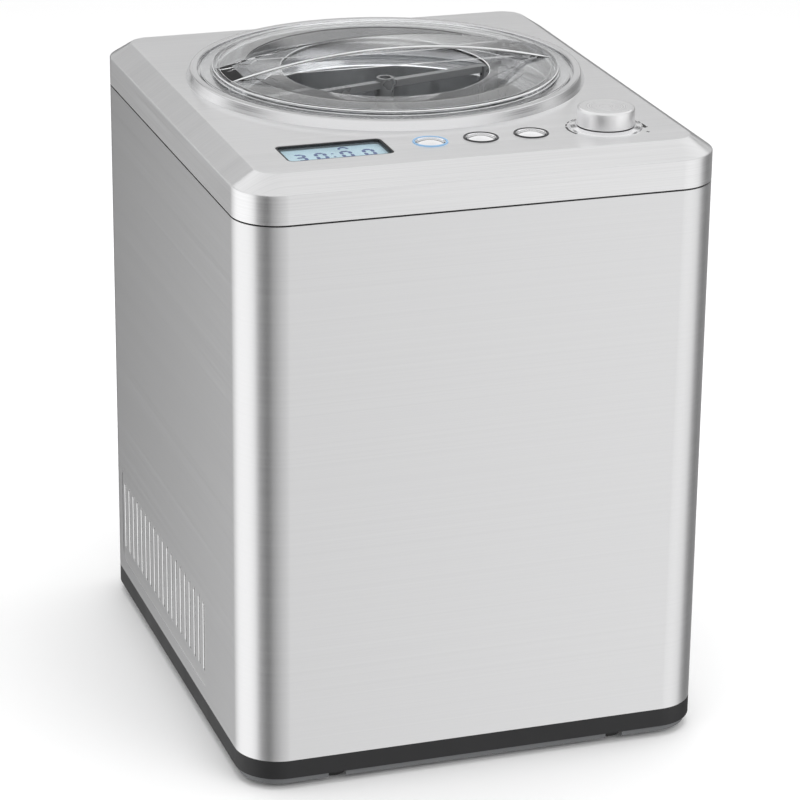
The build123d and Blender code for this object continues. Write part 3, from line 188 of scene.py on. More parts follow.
def rounded(corners, steps=5):
    """A closed section of (radius, height, rounding) corners as plain points."""
    points = []
    total = len(corners)
    for index, (x, y, fillet) in enumerate(corners):
        here = Vector((x, y))
        before = Vector(corners[index - 1][:2]) - here
        after = Vector(corners[(index + 1) % total][:2]) - here
        if fillet <= 0 or before.length < 1e-7 or after.length < 1e-7:
            points.append((x, y))
            continue
        angle = before.angle(after)
        if angle > pi - 0.02:
            points.append((x, y))
            continue
        reach = min(fillet / tan(angle / 2), before.length * 0.49, after.length * 0.49)
        start = here + before.normalized() * reach
        end = here + after.normalized() * reach
        for step in range(steps + 1):
            t = step / steps
            curve = start * (1 - t) ** 2 + here * 2 * t * (1 - t) + end * t ** 2
            points.append((curve.x, curve.y))
    return points


def skinned(name, rings, joined=False):
    """A closed piece over equal rings of points, its ends filled or joined."""
    bm = bmesh.new()
    loops = [[bm.verts.new(point) for point in ring] for ring in rings]
    pairs = list(zip(loops, loops[1:]))
    if joined:
        pairs.append((loops[-1], loops[0]))
    else:
        bm.faces.new(loops[0])
        bm.faces.new(loops[-1])
    for ring, above in pairs:
        for step in range(len(ring)):
            after = (step + 1) % len(ring)
            bm.faces.new((ring[step], ring[after], above[after], above[step]))
    bmesh.ops.remove_doubles(bm, verts=bm.verts, dist=1e-7)
    bmesh.ops.recalc_face_normals(bm, faces=bm.faces)
    return link(name, mesh_from(bm, name))


def circle_points(centre, radius, steps=96):
    """Points round a circle, anticlockwise."""
    turns = [2 * pi * step / steps for step in range(steps)]
    return [(centre[0] + radius * cos(t), centre[1] + radius * sin(t)) for t in turns]


def lathe(name, corners, centre, segments=None, steps=5):
    """A closed turned solid about an upright axis through the centre."""
    segments = segments or sizes().round_steps
    rings = [[(x, y, height) for x, y in circle_points(centre, radius, segments)]
             for radius, height in rounded(corners, steps)]
    return skinned(name, rings, joined=True)


def outline(half_x, half_y, radius, steps):
    """Points round a rounded rectangle about the origin, anticlockwise."""
    points = []
    for sx, sy, start in ((1, 1, 0), (-1, 1, 90), (-1, -1, 180), (1, -1, 270)):
        for step in range(steps + 1):
            turn = radians(start + 90 * step / steps)
            x = sx * (half_x - radius) + radius * cos(turn)
            y = sy * (half_y - radius) + radius * sin(turn)
            points.append((x, y))
    return points


def prism(points, low, high):
    """A bmesh prism between two heights over a flat outline."""
    bm = bmesh.new()
    base = bm.faces.new([bm.verts.new((x, y, low)) for x, y in points])
    made = bmesh.ops.extrude_face_region(bm, geom=[base])
    lifted = [v for v in made["geom"] if isinstance(v, bmesh.types.BMVert)]
    bmesh.ops.translate(bm, verts=lifted, vec=(0, 0, high - low))
    bmesh.ops.recalc_face_normals(bm, faces=bm.faces)
    return bm


def combine(piece, other, operation):
    """Cut another closed piece out of this one, or weld it on."""
    change = piece.modifiers.new("Combine", "BOOLEAN")
    change.operation = operation
    change.solver = "EXACT"
    change.object = other
    baked(piece)
    bpy.data.objects.remove(other)


def softened_copy(node, name, rounding):
    """A merged copy of a node with its edges rounded."""
    bm = bmesh.new()
    bm.from_mesh(NODES[node].data)
    bmesh.ops.remove_doubles(bm, verts=bm.verts, dist=2e-6)
    bmesh.ops.dissolve_limit(bm, angle_limit=radians(0.4), verts=bm.verts, edges=bm.edges)
    plain = mesh_from(bm, name)
    bare = bpy.data.meshes.new(name)
    bare.from_pydata([v.co for v in plain.vertices], [], [p.vertices for p in plain.polygons])
    bpy.data.meshes.remove(plain)
    piece = link(name, bare)
    if rounding > 0:
        soft = piece.modifiers.new("Edge Rounding", "BEVEL")
        soft.width = rounding
        soft.segments = 2
        soft.limit_method = "ANGLE"
        soft.angle_limit = radians(40)
        soft.use_clamp_overlap = True
        baked(piece)
    return smooth(piece)


# ---------------------------------------------------------------- node helpers
def node_maker(tree):
    """A function that adds a node to the tree and sets or joins its inputs."""
    def make(kind, inputs=None, **values):
        node = tree.nodes.new(kind)
        for key, value in values.items():
            setattr(node, key, value)
        for socket, value in (inputs or {}).items():
            if isinstance(value, bpy.types.NodeSocket):
                tree.links.new(value, node.inputs[socket])
            else:
                node.inputs[socket].default_value = value
        return node
    return make


def ramp(node, stops):
    """Fill a colour ramp with (place, grey) stops and return its colour."""
    elements = node.color_ramp.elements
    while len(elements) < len(stops):
        elements.new(0.5)
    for element, (place, grey) in zip(elements, stops):
        element.position = place
        element.color = (grey, grey, grey, 1)
    return node.outputs[0]


class Finish:
    """A node material being built round one Principled shader."""

    def __init__(self, name, colour, roughness, metallic=0.0):
        self.material = bpy.data.materials.new(name)
        self.material.use_nodes = True
        self.tree = self.material.node_tree
        self.add = node_maker(self.tree)
        self.shader = self.tree.nodes["Principled BSDF"]
        self.put("Base Color", (*colour, 1.0))
        self.put("Roughness", roughness)
        self.put("Metallic", metallic)
        self.colour = colour
        self.material.diffuse_color = (*colour, 1.0)

    def put(self, socket, value):
        """Set a value on the shader's own socket."""
        self.shader.inputs[socket].default_value = value

    def drive(self, socket, source):
        """Feed a socket of the shader."""
        self.tree.links.new(source, self.shader.inputs[socket])

    def place(self, scale, centre=(0, 0, 0)):
        """Object coordinates about a centre, stretched by a scale."""
        coordinates = self.add("ShaderNodeTexCoord")
        shift = self.add("ShaderNodeVectorMath", {0: coordinates.outputs["Object"], 1: centre},
                         operation="SUBTRACT")
        return self.add("ShaderNodeVectorMath", {0: shift.outputs[0], 1: scale},
                        operation="MULTIPLY").outputs[0]

    def mottle(self, scale, detail=3.0):
        """An even mottle."""
        return self.noise(self.place((1, 1, 1)), scale, detail)

    def noise(self, where, scale=1.0, detail=3.0):
        """A mottle over the given coordinates."""
        values = {"Vector": where, "Scale": scale, "Detail": detail, "Roughness": 0.55}
        return self.add("ShaderNodeTexNoise", values).outputs["Fac"]

    def ranged(self, source, low, high, from_low=0.3, from_high=0.7):
        """A value spread between two limits."""
        values = {"Value": source, "From Min": from_low, "From Max": from_high,
                  "To Min": low, "To Max": high}
        return self.add("ShaderNodeMapRange", values).outputs["Result"]

    def tint(self, source, spread, front=1.0, rear=1.0):
        """Vary the base colour by a share either way, and paint shade into it that changes from
        front to rear.
        """
        shade = self.ranged(source, 1 - spread, 1 + spread)
        if front != rear:
            # painted shade: the colour is scaled from the front value to the rear value along Y
            coordinates = self.add("ShaderNodeTexCoord")
            place = self.add("ShaderNodeSeparateXYZ", {0: coordinates.outputs["Object"]})
            depth = self.ranged(place.outputs["Y"], front, rear, -0.14, 0.16)
            shade = self.add("ShaderNodeMath", {0: shade, 1: depth},
                             operation="MULTIPLY").outputs[0]
        mixer = self.add("ShaderNodeVectorMath", {0: self.colour, "Scale": shade},
                         operation="SCALE")
        self.drive("Base Color", mixer.outputs[0])

    def gloss(self, source, low, high):
        """Vary the roughness between two limits."""
        self.drive("Roughness", self.ranged(source, low, high))

    def bump(self, source, strength, distance):
        """Raise a fine relief."""
        values = {"Strength": strength, "Distance": distance, "Height": source}
        self.drive("Normal", self.add("ShaderNodeBump", values).outputs["Normal"])

    def grain_along(self, bias=(0.25, 0, 0)):
        """Stretch the gloss along level grain lines that follow the walls."""
        surface = self.add("ShaderNodeNewGeometry")
        level = self.add("ShaderNodeVectorMath", {0: (0, 0, 1), 1: surface.outputs["Normal"]},
                         operation="CROSS_PRODUCT")
        lean = self.add("ShaderNodeVectorMath", {0: level.outputs[0], 1: bias},
                        operation="ADD")
        self.drive("Tangent", lean.outputs[0])
        self.put("Anisotropic Rotation", 0.25)

    def grain_round(self, centre):
        """Stretch the gloss along turning marks round an upright axis."""
        outward = self.place((1, 1, 0), centre)
        around = self.add("ShaderNodeVectorMath", {0: (0, 0, 1), 1: outward},
                          operation="CROSS_PRODUCT")
        self.drive("Tangent", around.outputs[0])
        self.put("Anisotropic Rotation", 0.25)

    def radius(self, centre):
        """Distance from an upright axis, in millimetres."""
        flat = self.place((1000, 1000, 0), centre)
        return self.add("ShaderNodeVectorMath", {0: flat}, operation="LENGTH").outputs["Value"]


# ---------------------------------------------------------------- finishes
def brushed_walls(name, colour, roughness=0.34):
    """Stainless sheet with level grain round the walls, with painted shade that darkens it towards
    the rear.
    """
    steel = Finish(name, colour, roughness, 1.0)
    fine = steel.noise(steel.place((3, 3, 2600)), detail=2.0)
    broad = steel.noise(steel.place((0.5, 0.5, 420)), detail=3.0)
    half = steel.add("ShaderNodeMath", {0: broad, 1: 0.5}, operation="MULTIPLY")
    blend = steel.add("ShaderNodeMath", {0: fine, 1: 0.5, 2: half.outputs[0]},
                      operation="MULTIPLY_ADD")
    # painted shade: the walls darken from the front towards the rear
    steel.tint(blend.outputs[0], 0.03, 1.06, 0.76)
    steel.gloss(blend.outputs[0], roughness - 0.06, roughness + 0.07)
    steel.bump(fine, 0.04, 0.00002)
    steel.put("Anisotropic", 0.65)
    steel.grain_along()
    return steel.material


def brushed_cap(name, colour, roughness=0.33):
    """Stainless cap whose plate grain runs left to right and wall grain is level, with painted
    shade that darkens it towards the rear.
    """
    steel = Finish(name, colour, roughness, 1.0)
    plate = steel.noise(steel.place((10, 2200, 10)), detail=2.0)
    wall = steel.noise(steel.place((10, 10, 2200)), detail=2.0)
    surface = steel.add("ShaderNodeNewGeometry")
    parts = steel.add("ShaderNodeSeparateXYZ", {0: surface.outputs["Normal"]})
    flat = steel.ranged(parts.outputs["Z"], 0.0, 1.0, 0.6, 0.75)
    blend = steel.add("ShaderNodeMix", {"Factor": flat, "A": wall, "B": plate})
    grain = blend.outputs["Result"]
    # painted shade: the cap darkens a little from the front towards the rear
    steel.tint(grain, 0.045, 1.03, 0.93)
    steel.gloss(grain, roughness - 0.05, roughness + 0.06)
    steel.bump(grain, 0.06, 0.00002)
    steel.put("Anisotropic", 0.6)
    steel.grain_along()
    return steel.material


def spun_metal(name, colour, centre, roughness=0.2, marks=900.0, anisotropic=0.7):
    """Turned or spun metal with marks round an axis."""
    metal = Finish(name, colour, roughness, 1.0)
    values = {"W": metal.radius(centre), "Scale": marks / 1000, "Detail": 3.0}
    rings = metal.add("ShaderNodeTexNoise", values, noise_dimensions="1D")
    metal.tint(rings.outputs["Fac"], 0.05)
    metal.gloss(rings.outputs["Fac"], roughness - 0.05, roughness + 0.08)
    metal.put("Anisotropic", anisotropic)
    metal.grain_round(centre)
    return metal.material


def moulded(name, colour, roughness=0.45, grain=900.0, spread=0.12, depth=0.00003):
    """Moulded plastic or rubber with a fine skin."""
    plastic = Finish(name, colour, roughness)
    skin = plastic.mottle(grain, 2.0)
    cloud = plastic.mottle(35.0, 3.0)
    plastic.tint(cloud, spread)
    plastic.gloss(cloud, roughness - 0.06, roughness + 0.08)
    plastic.bump(skin, 0.25, depth)
    return plastic.material


def sheet_metal(name, colour, roughness=0.4, metallic=1.0, spread=0.06):
    """Plain plated or painted metal with faint clouding."""
    metal = Finish(name, colour, roughness, metallic)
    cloud = metal.mottle(60.0, 5.0)
    speck = metal.mottle(700.0, 2.0)
    metal.tint(cloud, spread)
    metal.gloss(cloud, roughness - spread, roughness + spread)
    metal.bump(speck, 0.12, 0.00002)
    return metal.material


def clear_moulding(name, tint, roughness=0.02, passing=0.95, ior=1.49):
    """Clear plastic that lets lamps through."""
    clear = Finish(name, tint, roughness)
    clear.put("Transmission Weight", 1.0)
    clear.put("IOR", ior)
    haze = clear.mottle(90.0, 3.0)
    clear.gloss(haze, max(roughness - 0.02, 0.0), roughness + 0.03)
    values = {"Color": (passing, passing, passing, 1)}
    lamp = clear.add("ShaderNodeBsdfTransparent", values)
    shadow = clear.add("ShaderNodeLightPath").outputs["Is Shadow Ray"]
    choose = clear.add("ShaderNodeMixShader",
                       {0: shadow, 1: clear.shader.outputs[0], 2: lamp.outputs[0]})
    surface = clear.tree.nodes["Material Output"].inputs["Surface"]
    clear.tree.links.new(choose.outputs[0], surface)
    return clear.material


def frosted(name, colour, roughness):
    """Translucent moulded plastic that passes a little light."""
    plastic = Finish(name, colour, roughness)
    cloud = plastic.mottle(45.0, 3.0)
    plastic.tint(cloud, 0.06)
    plastic.gloss(cloud, roughness - 0.08, roughness + 0.08)
    plastic.put("Transmission Weight", 0.35)
    plastic.put("IOR", 1.5)
    return plastic.material


def thin_window(name, tint, cover):
    """A thin clear sheet that shows what is under it sharply."""
    window = Finish(name, tint, 0.06)
    smear = window.mottle(80.0, 3.0)
    window.gloss(smear, 0.03, 0.1)
    window.put("Alpha", cover)
    return window.material


def lit(name, colour, strength, grain=1400.0):
    """A surface lit from behind, a little uneven."""
    glow = Finish(name, colour, 0.3)
    cloud = glow.mottle(60.0, 2.0)
    cells = glow.mottle(grain, 1.0)
    glow.tint(cloud, 0.08)
    glow.put("Emission Color", (*colour, 1.0))
    glow.put("Emission Strength", strength)
    glow.bump(cells, 0.05, 0.00001)
    return glow.material


MATERIALS = {}


class ICECREAM_OT_finishes(bpy.types.Operator):
    """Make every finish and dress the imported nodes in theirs"""

    bl_idname = "ice_cream.finishes"
    bl_label = "Finishes"

    def execute(self, context):
        c = colours()
        rows = (
            ("case_steel", brushed_walls, c.case_steel),
            ("cap_steel", brushed_cap, c.cap_steel),
            # near-black painted shade for the hidden lining behind the cap seam
            ("seam_paint", moulded, (0.01, 0.01, 0.01), 0.6),
            ("slot_steel", sheet_metal, (0.9, 0.9, 0.9), 0.25),
            ("base_plastic", moulded, c.black_plastic, 0.55, 700.0),
            ("pan_paint", sheet_metal, (0.16, 0.165, 0.17), 0.5, 0.2),
            ("foot_rubber", moulded, (0.018, 0.018, 0.018), 0.7),
            ("collar_steel", spun_metal, (0.8, 0.8, 0.81), BOWL_AXIS, 0.16),
            ("bowl_steel", spun_metal, (0.72, 0.73, 0.74), BOWL_AXIS, 0.22),
            ("clear_lid", clear_moulding, c.clear_plastic),
            # pale frosted finish that paints highlights on the lid's sloping edges
            ("lid_edges", frosted, (0.93, 0.94, 0.95), 0.2),
            ("paddle_plastic", frosted, (0.22, 0.225, 0.23), 0.3),
            ("knob_silver", spun_metal, (0.95, 0.95, 0.955), KNOB_AXIS, 0.3, 1500.0, 0.3),
            ("knob_plate", spun_metal, (0.86, 0.86, 0.87), KNOB_AXIS, 0.14),
            ("polished_chrome", sheet_metal, (0.93, 0.93, 0.94), 0.12),
            ("dark_ring", moulded, (0.01, 0.01, 0.012), 0.25),
            ("display_black", moulded, c.black_plastic, 0.35),
            ("display_window", thin_window, (0.5, 0.6, 0.65), 0.1),
            ("display_lit", lit, c.display_light, 0.1),
            ("digit_ink", moulded, c.digit_ink, 0.5),
            ("dial_ink", moulded, (0.015, 0.015, 0.016), 0.5),
            ("power_ring_lit", lit, c.ring_light, 0.12),
            ("zinc_sheet", sheet_metal, (0.72, 0.72, 0.73), 0.36, 1.0, 0.03),
            ("plated_screw", sheet_metal, (0.7, 0.7, 0.71), 0.25),
            ("motor_enamel", sheet_metal, (0.05, 0.052, 0.056), 0.4, 0.3),
            ("black_enamel", sheet_metal, (0.012, 0.012, 0.012), 0.25, 0.1),
            ("aluminium_sheet", sheet_metal, (0.8, 0.81, 0.82), 0.32),
            ("copper_tube", sheet_metal, (0.72, 0.36, 0.22), 0.3),
            ("bronze_bush", sheet_metal, (0.55, 0.38, 0.18), 0.42),
            ("ground_steel", sheet_metal, (0.66, 0.66, 0.68), 0.2),
            ("nylon_gear", moulded, (0.85, 0.83, 0.76), 0.4, 500.0, 0.05),
            ("grey_moulding", moulded, (0.3, 0.31, 0.32), 0.5),
            ("foam_jacket", moulded, (0.78, 0.7, 0.45), 0.9, 260.0, 0.1, 0.0006),
            ("board_mask", moulded, (0.01, 0.09, 0.035), 0.3, 400.0, 0.2),
            ("seal_rubber", moulded, (0.3, 0.31, 0.32), 0.6),
        )
        MATERIALS.update({name: maker(name, *values) for name, maker, *values in rows})
        by_slot = {
            "brushed_steel": "case_steel", "brushed_top": "cap_steel",
            "black_plastic": "base_plastic", "grey_paint": "pan_paint",
            "rubber": "foot_rubber", "zinc_steel": "zinc_sheet",
            "screw_steel": "plated_screw", "clear_plastic": "clear_lid",
            "silver_plastic": "knob_silver", "collar_steel": "collar_steel",
            "aluminium": "aluminium_sheet", "silicone": "seal_rubber",
            "copper": "copper_tube", "foam": "foam_jacket", "bowl_steel": "bowl_steel",
            "paddle_plastic": "paddle_plastic", "shaft_steel": "ground_steel",
            "gear_nylon": "nylon_gear", "bronze": "bronze_bush",
            "motor_paint": "motor_enamel", "compressor_paint": "black_enamel",
            "grey_plastic": "grey_moulding", "display_glass": "display_window",
            "lcd": "display_lit", "light_ring": "power_ring_lit",
            "chrome": "polished_chrome", "circuit_board": "board_mask",
        }
        for part in frame["record"]["subparts"]:
            node = NODES[part["node"]]
            chosen = MATERIALS[by_slot[part["material_slot"]]]
            for slot in node.material_slots:
                slot.link = "OBJECT"
                slot.material = chosen
        return {"FINISHED"}


# ---------------------------------------------------------------- housing
class ICECREAM_OT_case(bpy.types.Operator):
    """Make the stainless case wall with its slotted sides and rear window"""

    bl_idname = "ice_cream.case"
    bl_label = "Case Wall"

    def execute(self, context):
        piece = softened_copy("body_shell", "case_wall", 0.0)
        finish(piece, HOUSING, [MATERIALS["case_steel"]], ["body_shell"])
        return {"FINISHED"}


class ICECREAM_OT_cap(bpy.types.Operator):
    """Make the bevelled top cap with its openings"""

    bl_idname = "ice_cream.cap"
    bl_label = "Top Cap"

    def execute(self, context):
        s = sizes()
        low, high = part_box("top_housing")
        case_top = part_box("body_shell")[1].z
        cap_low = case_top + 0.001
        skirt_top = high.z - s.bevel_height
        wall, soft = s.cap_wall, s.pressed_round
        plate_edge = 0.02
        lining_in, lining_out, lining_top = 0.0033, 0.0013, case_top + 0.004
        section = [
            (0.0, cap_low, 0.0004),
            (0.0, skirt_top, soft),
            (s.bevel_inset, high.z, soft),
            (plate_edge, high.z, 0.0),
        ]
        inside = [
            (plate_edge, high.z - wall),
            (s.bevel_inset + 0.0008, high.z - wall),
            (wall, skirt_top - 0.0005),
            (wall, lining_top),
            (lining_in, lining_top),
            (lining_in, low.z),
            (lining_out, low.z),
            (lining_out, cap_low),
        ]
        piece = self.closed_cap(high, section, inside)
        centre = centre_of("display_lens")
        lens_low, lens_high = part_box("display_lens")
        half = (lens_high - lens_low) / 2
        rim, window_radius = 0.0013, 0.0037
        bowl_hole, knob_hole, button_hole = 0.108, 0.013, 0.0095
        window = outline(half.x + rim, half.y + rim, window_radius, 8)
        window = [(x + centre.x, y + centre.y) for x, y in window]
        below, above = high.z - 0.006, high.z + 0.002
        cutters = [
            prism(circle_points(BOWL_AXIS, bowl_hole, s.round_steps), below, above),
            prism(window, below, above),
            prism(circle_points(KNOB_AXIS, knob_hole), below, above),
        ]
        for button in ("power_button", "menu_button", "start_button"):
            hole = circle_points(centre_of(button), button_hole)
            cutters.append(prism(hole, below, above))
        for cutter in cutters:
            combine(piece, link("cutter", mesh_from(cutter, "cutter")), "DIFFERENCE")
        finish(smooth(piece), HOUSING,
               [MATERIALS["cap_steel"], MATERIALS["seam_paint"]], ["top_housing"])
        # painted shade: the lining faces below the seam are near-black so the seam gap shows as a
        # dark shadow line
        for face in piece.data.polygons:
            if face.center.z < cap_low - 0.0001:
                face.material_index = 1
        return {"FINISHED"}

    def closed_cap(self, high, section, inside):
        """The cap as one closed shell, its plate and ceiling still whole."""
        outer = rounded([*section, (section[-1][0], high.z - 1.0, 0.0)])[:-1]
        rings = []
        for inset, height in [*reversed(outer), *reversed(inside)]:
            flat = outline(high.x - inset, high.y - inset,
                           max(sizes().corner_radius - inset, 0.004), sizes().corner_steps)
            rings.append([(x, y, height) for x, y in flat])
        return skinned("top_cap", rings)


def slot_lip_tree():
    """Geometry nodes that set a row of rolled slot lips on a wall."""
    tree = bpy.data.node_groups.new("Slot Lips", "GeometryNodeTree")
    sockets = (
        ("Count", "NodeSocketInt", 19), ("Pitch", "NodeSocketFloat", 0.0106),
        ("Slot Width", "NodeSocketFloat", 0.0034), ("Slot Height", "NodeSocketFloat", 0.046),
        ("Lip Depth", "NodeSocketFloat", 0.0026), ("Lip Wall", "NodeSocketFloat", 0.00035),
        ("Roll Radius", "NodeSocketFloat", 0.00085), ("Roll Rise", "NodeSocketFloat", 0.0004),
        ("Place", "NodeSocketVector", (0, 0, 0)), ("Turn", "NodeSocketVector", (0, 0, 0)),
        ("Material", "NodeSocketMaterial", None),
    )
    for name, kind, default in sockets:
        socket = tree.interface.new_socket(name, in_out="INPUT", socket_type=kind)
        if default is not None:
            socket.default_value = default
    tree.interface.new_socket("Geometry", in_out="OUTPUT", socket_type="NodeSocketGeometry")
    make = node_maker(tree)
    given = make("NodeGroupInput").outputs

    def maths(operation, first, second):
        return make("ShaderNodeMath", {0: first, 1: second}, operation=operation).outputs[0]

    def vector(**axes):
        return make("ShaderNodeCombineXYZ", axes).outputs[0]

    def rounded_bar(width, height, radius, steps):
        values = {"Width": width, "Height": height}
        bar = make("GeometryNodeCurvePrimitiveQuadrilateral", values)
        soft = make("GeometryNodeFilletCurve", mode="POLY")
        soft.inputs["Count"].default_value = steps
        tree.links.new(bar.outputs[0], soft.inputs["Curve"])
        tree.links.new(radius, soft.inputs["Radius"])
        return soft.outputs[0]

    def swept(path, section, caps=False):
        values = {"Curve": path, "Profile Curve": section, "Fill Caps": caps}
        return make("GeometryNodeCurveToMesh", values).outputs[0]

    path_width = maths("SUBTRACT", given["Slot Width"], given["Lip Wall"])
    path_height = maths("SUBTRACT", given["Slot Height"], given["Lip Wall"])
    path = rounded_bar(path_width, path_height, maths("MULTIPLY", path_width, 0.499), 8)
    lip_section = rounded_bar(given["Lip Wall"], given["Lip Depth"],
                              maths("MULTIPLY", given["Lip Wall"], 0.49), 4)
    straight = maths("SUBTRACT", given["Slot Height"], given["Slot Width"])
    half_roll = maths("MULTIPLY", straight, 0.5)
    roll_side = maths("SUBTRACT", maths("MULTIPLY", given["Slot Width"], 0.5),
                      maths("MULTIPLY", given["Roll Radius"], 0.6))
    start, end = [
        vector(X=roll_side, Y=maths("MULTIPLY", half_roll, sign), Z=given["Roll Rise"])
        for sign in (-1.0, 1.0)]
    roll_line = make("GeometryNodeCurvePrimitiveLine", {"Start": start, "End": end})
    roll_section = make("GeometryNodeCurvePrimitiveCircle",
                        {"Resolution": 20, "Radius": given["Roll Radius"]})
    rims = make("GeometryNodeJoinGeometry", {0: swept(path, lip_section)})
    tree.links.new(swept(roll_line.outputs[0], roll_section.outputs[0], True), rims.inputs[0])
    first = maths("MULTIPLY", maths("SUBTRACT", given["Count"], 1.0), -0.5)
    values = {
        "Count": given["Count"], "Offset": vector(X=given["Pitch"]),
        "Start Location": vector(X=maths("MULTIPLY", first, given["Pitch"])),
    }
    row = make("GeometryNodeMeshLine", values, mode="OFFSET")
    spread = make("GeometryNodeInstanceOnPoints",
                  {"Points": row.outputs[0], "Instance": rims.outputs[0]})
    whole = make("GeometryNodeRealizeInstances", {0: spread.outputs[0]})
    values = {"Geometry": whole.outputs[0], "Translation": given["Place"],
              "Rotation": given["Turn"]}
    placed = make("GeometryNodeTransform", values)
    values = {"Geometry": placed.outputs[0], "Material": given["Material"]}
    coat = make("GeometryNodeSetMaterial", values)
    make("NodeGroupOutput", {0: coat.outputs[0]})
    return tree


def grown(name, tree, **values):
    """A plain mesh piece grown by a node tree from named inputs."""
    piece = link(name, bpy.data.meshes.new(name))
    grower = piece.modifiers.new("Grower", "NODES")
    grower.node_group = tree
    for item in tree.interface.items_tree:
        if item.in_out == "INPUT" and item.name in values:
            grower[item.identifier] = values[item.name]
    baked(piece)
    bm = bmesh.new()
    bm.from_mesh(piece.data)
    bmesh.ops.remove_doubles(bm, verts=bm.verts, dist=1e-7)
    bmesh.ops.recalc_face_normals(bm, faces=bm.faces)
    bm.to_mesh(piece.data)
    bm.free()
    return smooth(piece)


class ICECREAM_OT_vents(bpy.types.Operator):
    """Grow the rolled lips of the side and rear slots"""

    bl_idname = "ice_cream.vents"
    bl_label = "Vent Lips"

    def execute(self, context):
        s = sizes()
        tree = slot_lip_tree()
        low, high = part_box("body_shell")
        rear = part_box("rear_panel")[1].y
        depth = s.vent_lip / 2
        border = 0.0004
        side_y, side_z, rear_z = 0.027, 0.059, 0.092
        roll = s.roll_radius
        across = (pi / 2, 0, pi / 2)
        rows = (
            ("left_slot_lips", s.vent_count, s.vent_pitch, roll - border - depth,
             (low.x + border + depth, side_y, side_z), across),
            ("right_slot_lips", s.vent_count, s.vent_pitch, depth + border - roll,
             (high.x - border - depth, side_y, side_z), across),
            ("rear_slot_lips", s.rear_vent_count, s.rear_vent_pitch, roll - depth,
             (0.0, rear - depth, rear_z), (pi / 2, 0, 0)),
        )
        for name, count, pitch, rise, place, turn in rows:
            values = {
                "Count": count, "Pitch": pitch, "Slot Width": s.vent_width,
                "Slot Height": s.vent_height, "Lip Depth": s.vent_lip,
                "Roll Radius": roll, "Roll Rise": rise,
                "Place": place, "Turn": turn, "Material": MATERIALS["slot_steel"],
            }
            piece = grown(name, tree, **values)
            finish(piece, HOUSING, [MATERIALS["slot_steel"]])
        return {"FINISHED"}


def redress(rows):
    """Put softened copies in place of fixed nodes."""
    for node, name, width, slot, material in rows:
        piece = softened_copy(node, name, width)
        finish(piece, HOUSING, [MATERIALS[material]], [node])


class ICECREAM_OT_base(bpy.types.Operator):
    """Make the black base band, the lip below it and the feet"""

    bl_idname = "ice_cream.base"
    bl_label = "Base"

    def execute(self, context):
        soft = sizes().moulded_round
        redress((
            ("base_tray", "base_band", soft, "black_plastic", "base_plastic"),
            ("bottom_pan", "bottom_lip", soft, "grey_paint", "pan_paint"),
            ("feet", "rubber_feet", soft, "rubber", "foot_rubber"),
        ))
        return {"FINISHED"}


class ICECREAM_OT_back(bpy.types.Operator):
    """Make the rear service panel and the cord gland"""

    bl_idname = "ice_cream.back"
    bl_label = "Rear Panel"

    def execute(self, context):
        soft = 0.0002
        redress((
            ("rear_panel", "rear_cover", soft, "zinc_steel", "zinc_sheet"),
            ("cord_gland", "rear_gland", soft, "rubber", "foot_rubber"),
        ))
        return {"FINISHED"}


class ICECREAM_OT_collar(bpy.types.Operator):
    """Turn the polished collar round the bowl opening"""

    bl_idname = "ice_cream.collar"
    bl_label = "Collar"

    def execute(self, context):
        low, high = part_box("collar_ring")
        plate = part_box("top_housing")[1].z
        ledge = plate + 0.0022
        foot, crest, mouth, throat, tail = 0.1188, 0.1163, 0.112, 0.104, 0.1077
        corners = [
            (foot, plate, 0.0), (crest, high.z, 0.0009), (mouth, high.z, 0.0007),
            (mouth, ledge, 0.0003), (throat, ledge, 0.0006), (throat, low.z, 0.0),
            (tail, low.z, 0.0), (tail, plate, 0.0),
        ]
        piece = smooth(lathe("polished_collar", corners, BOWL_AXIS))
        finish(piece, HOUSING, [MATERIALS["collar_steel"]], ["collar_ring"])
        return {"FINISHED"}


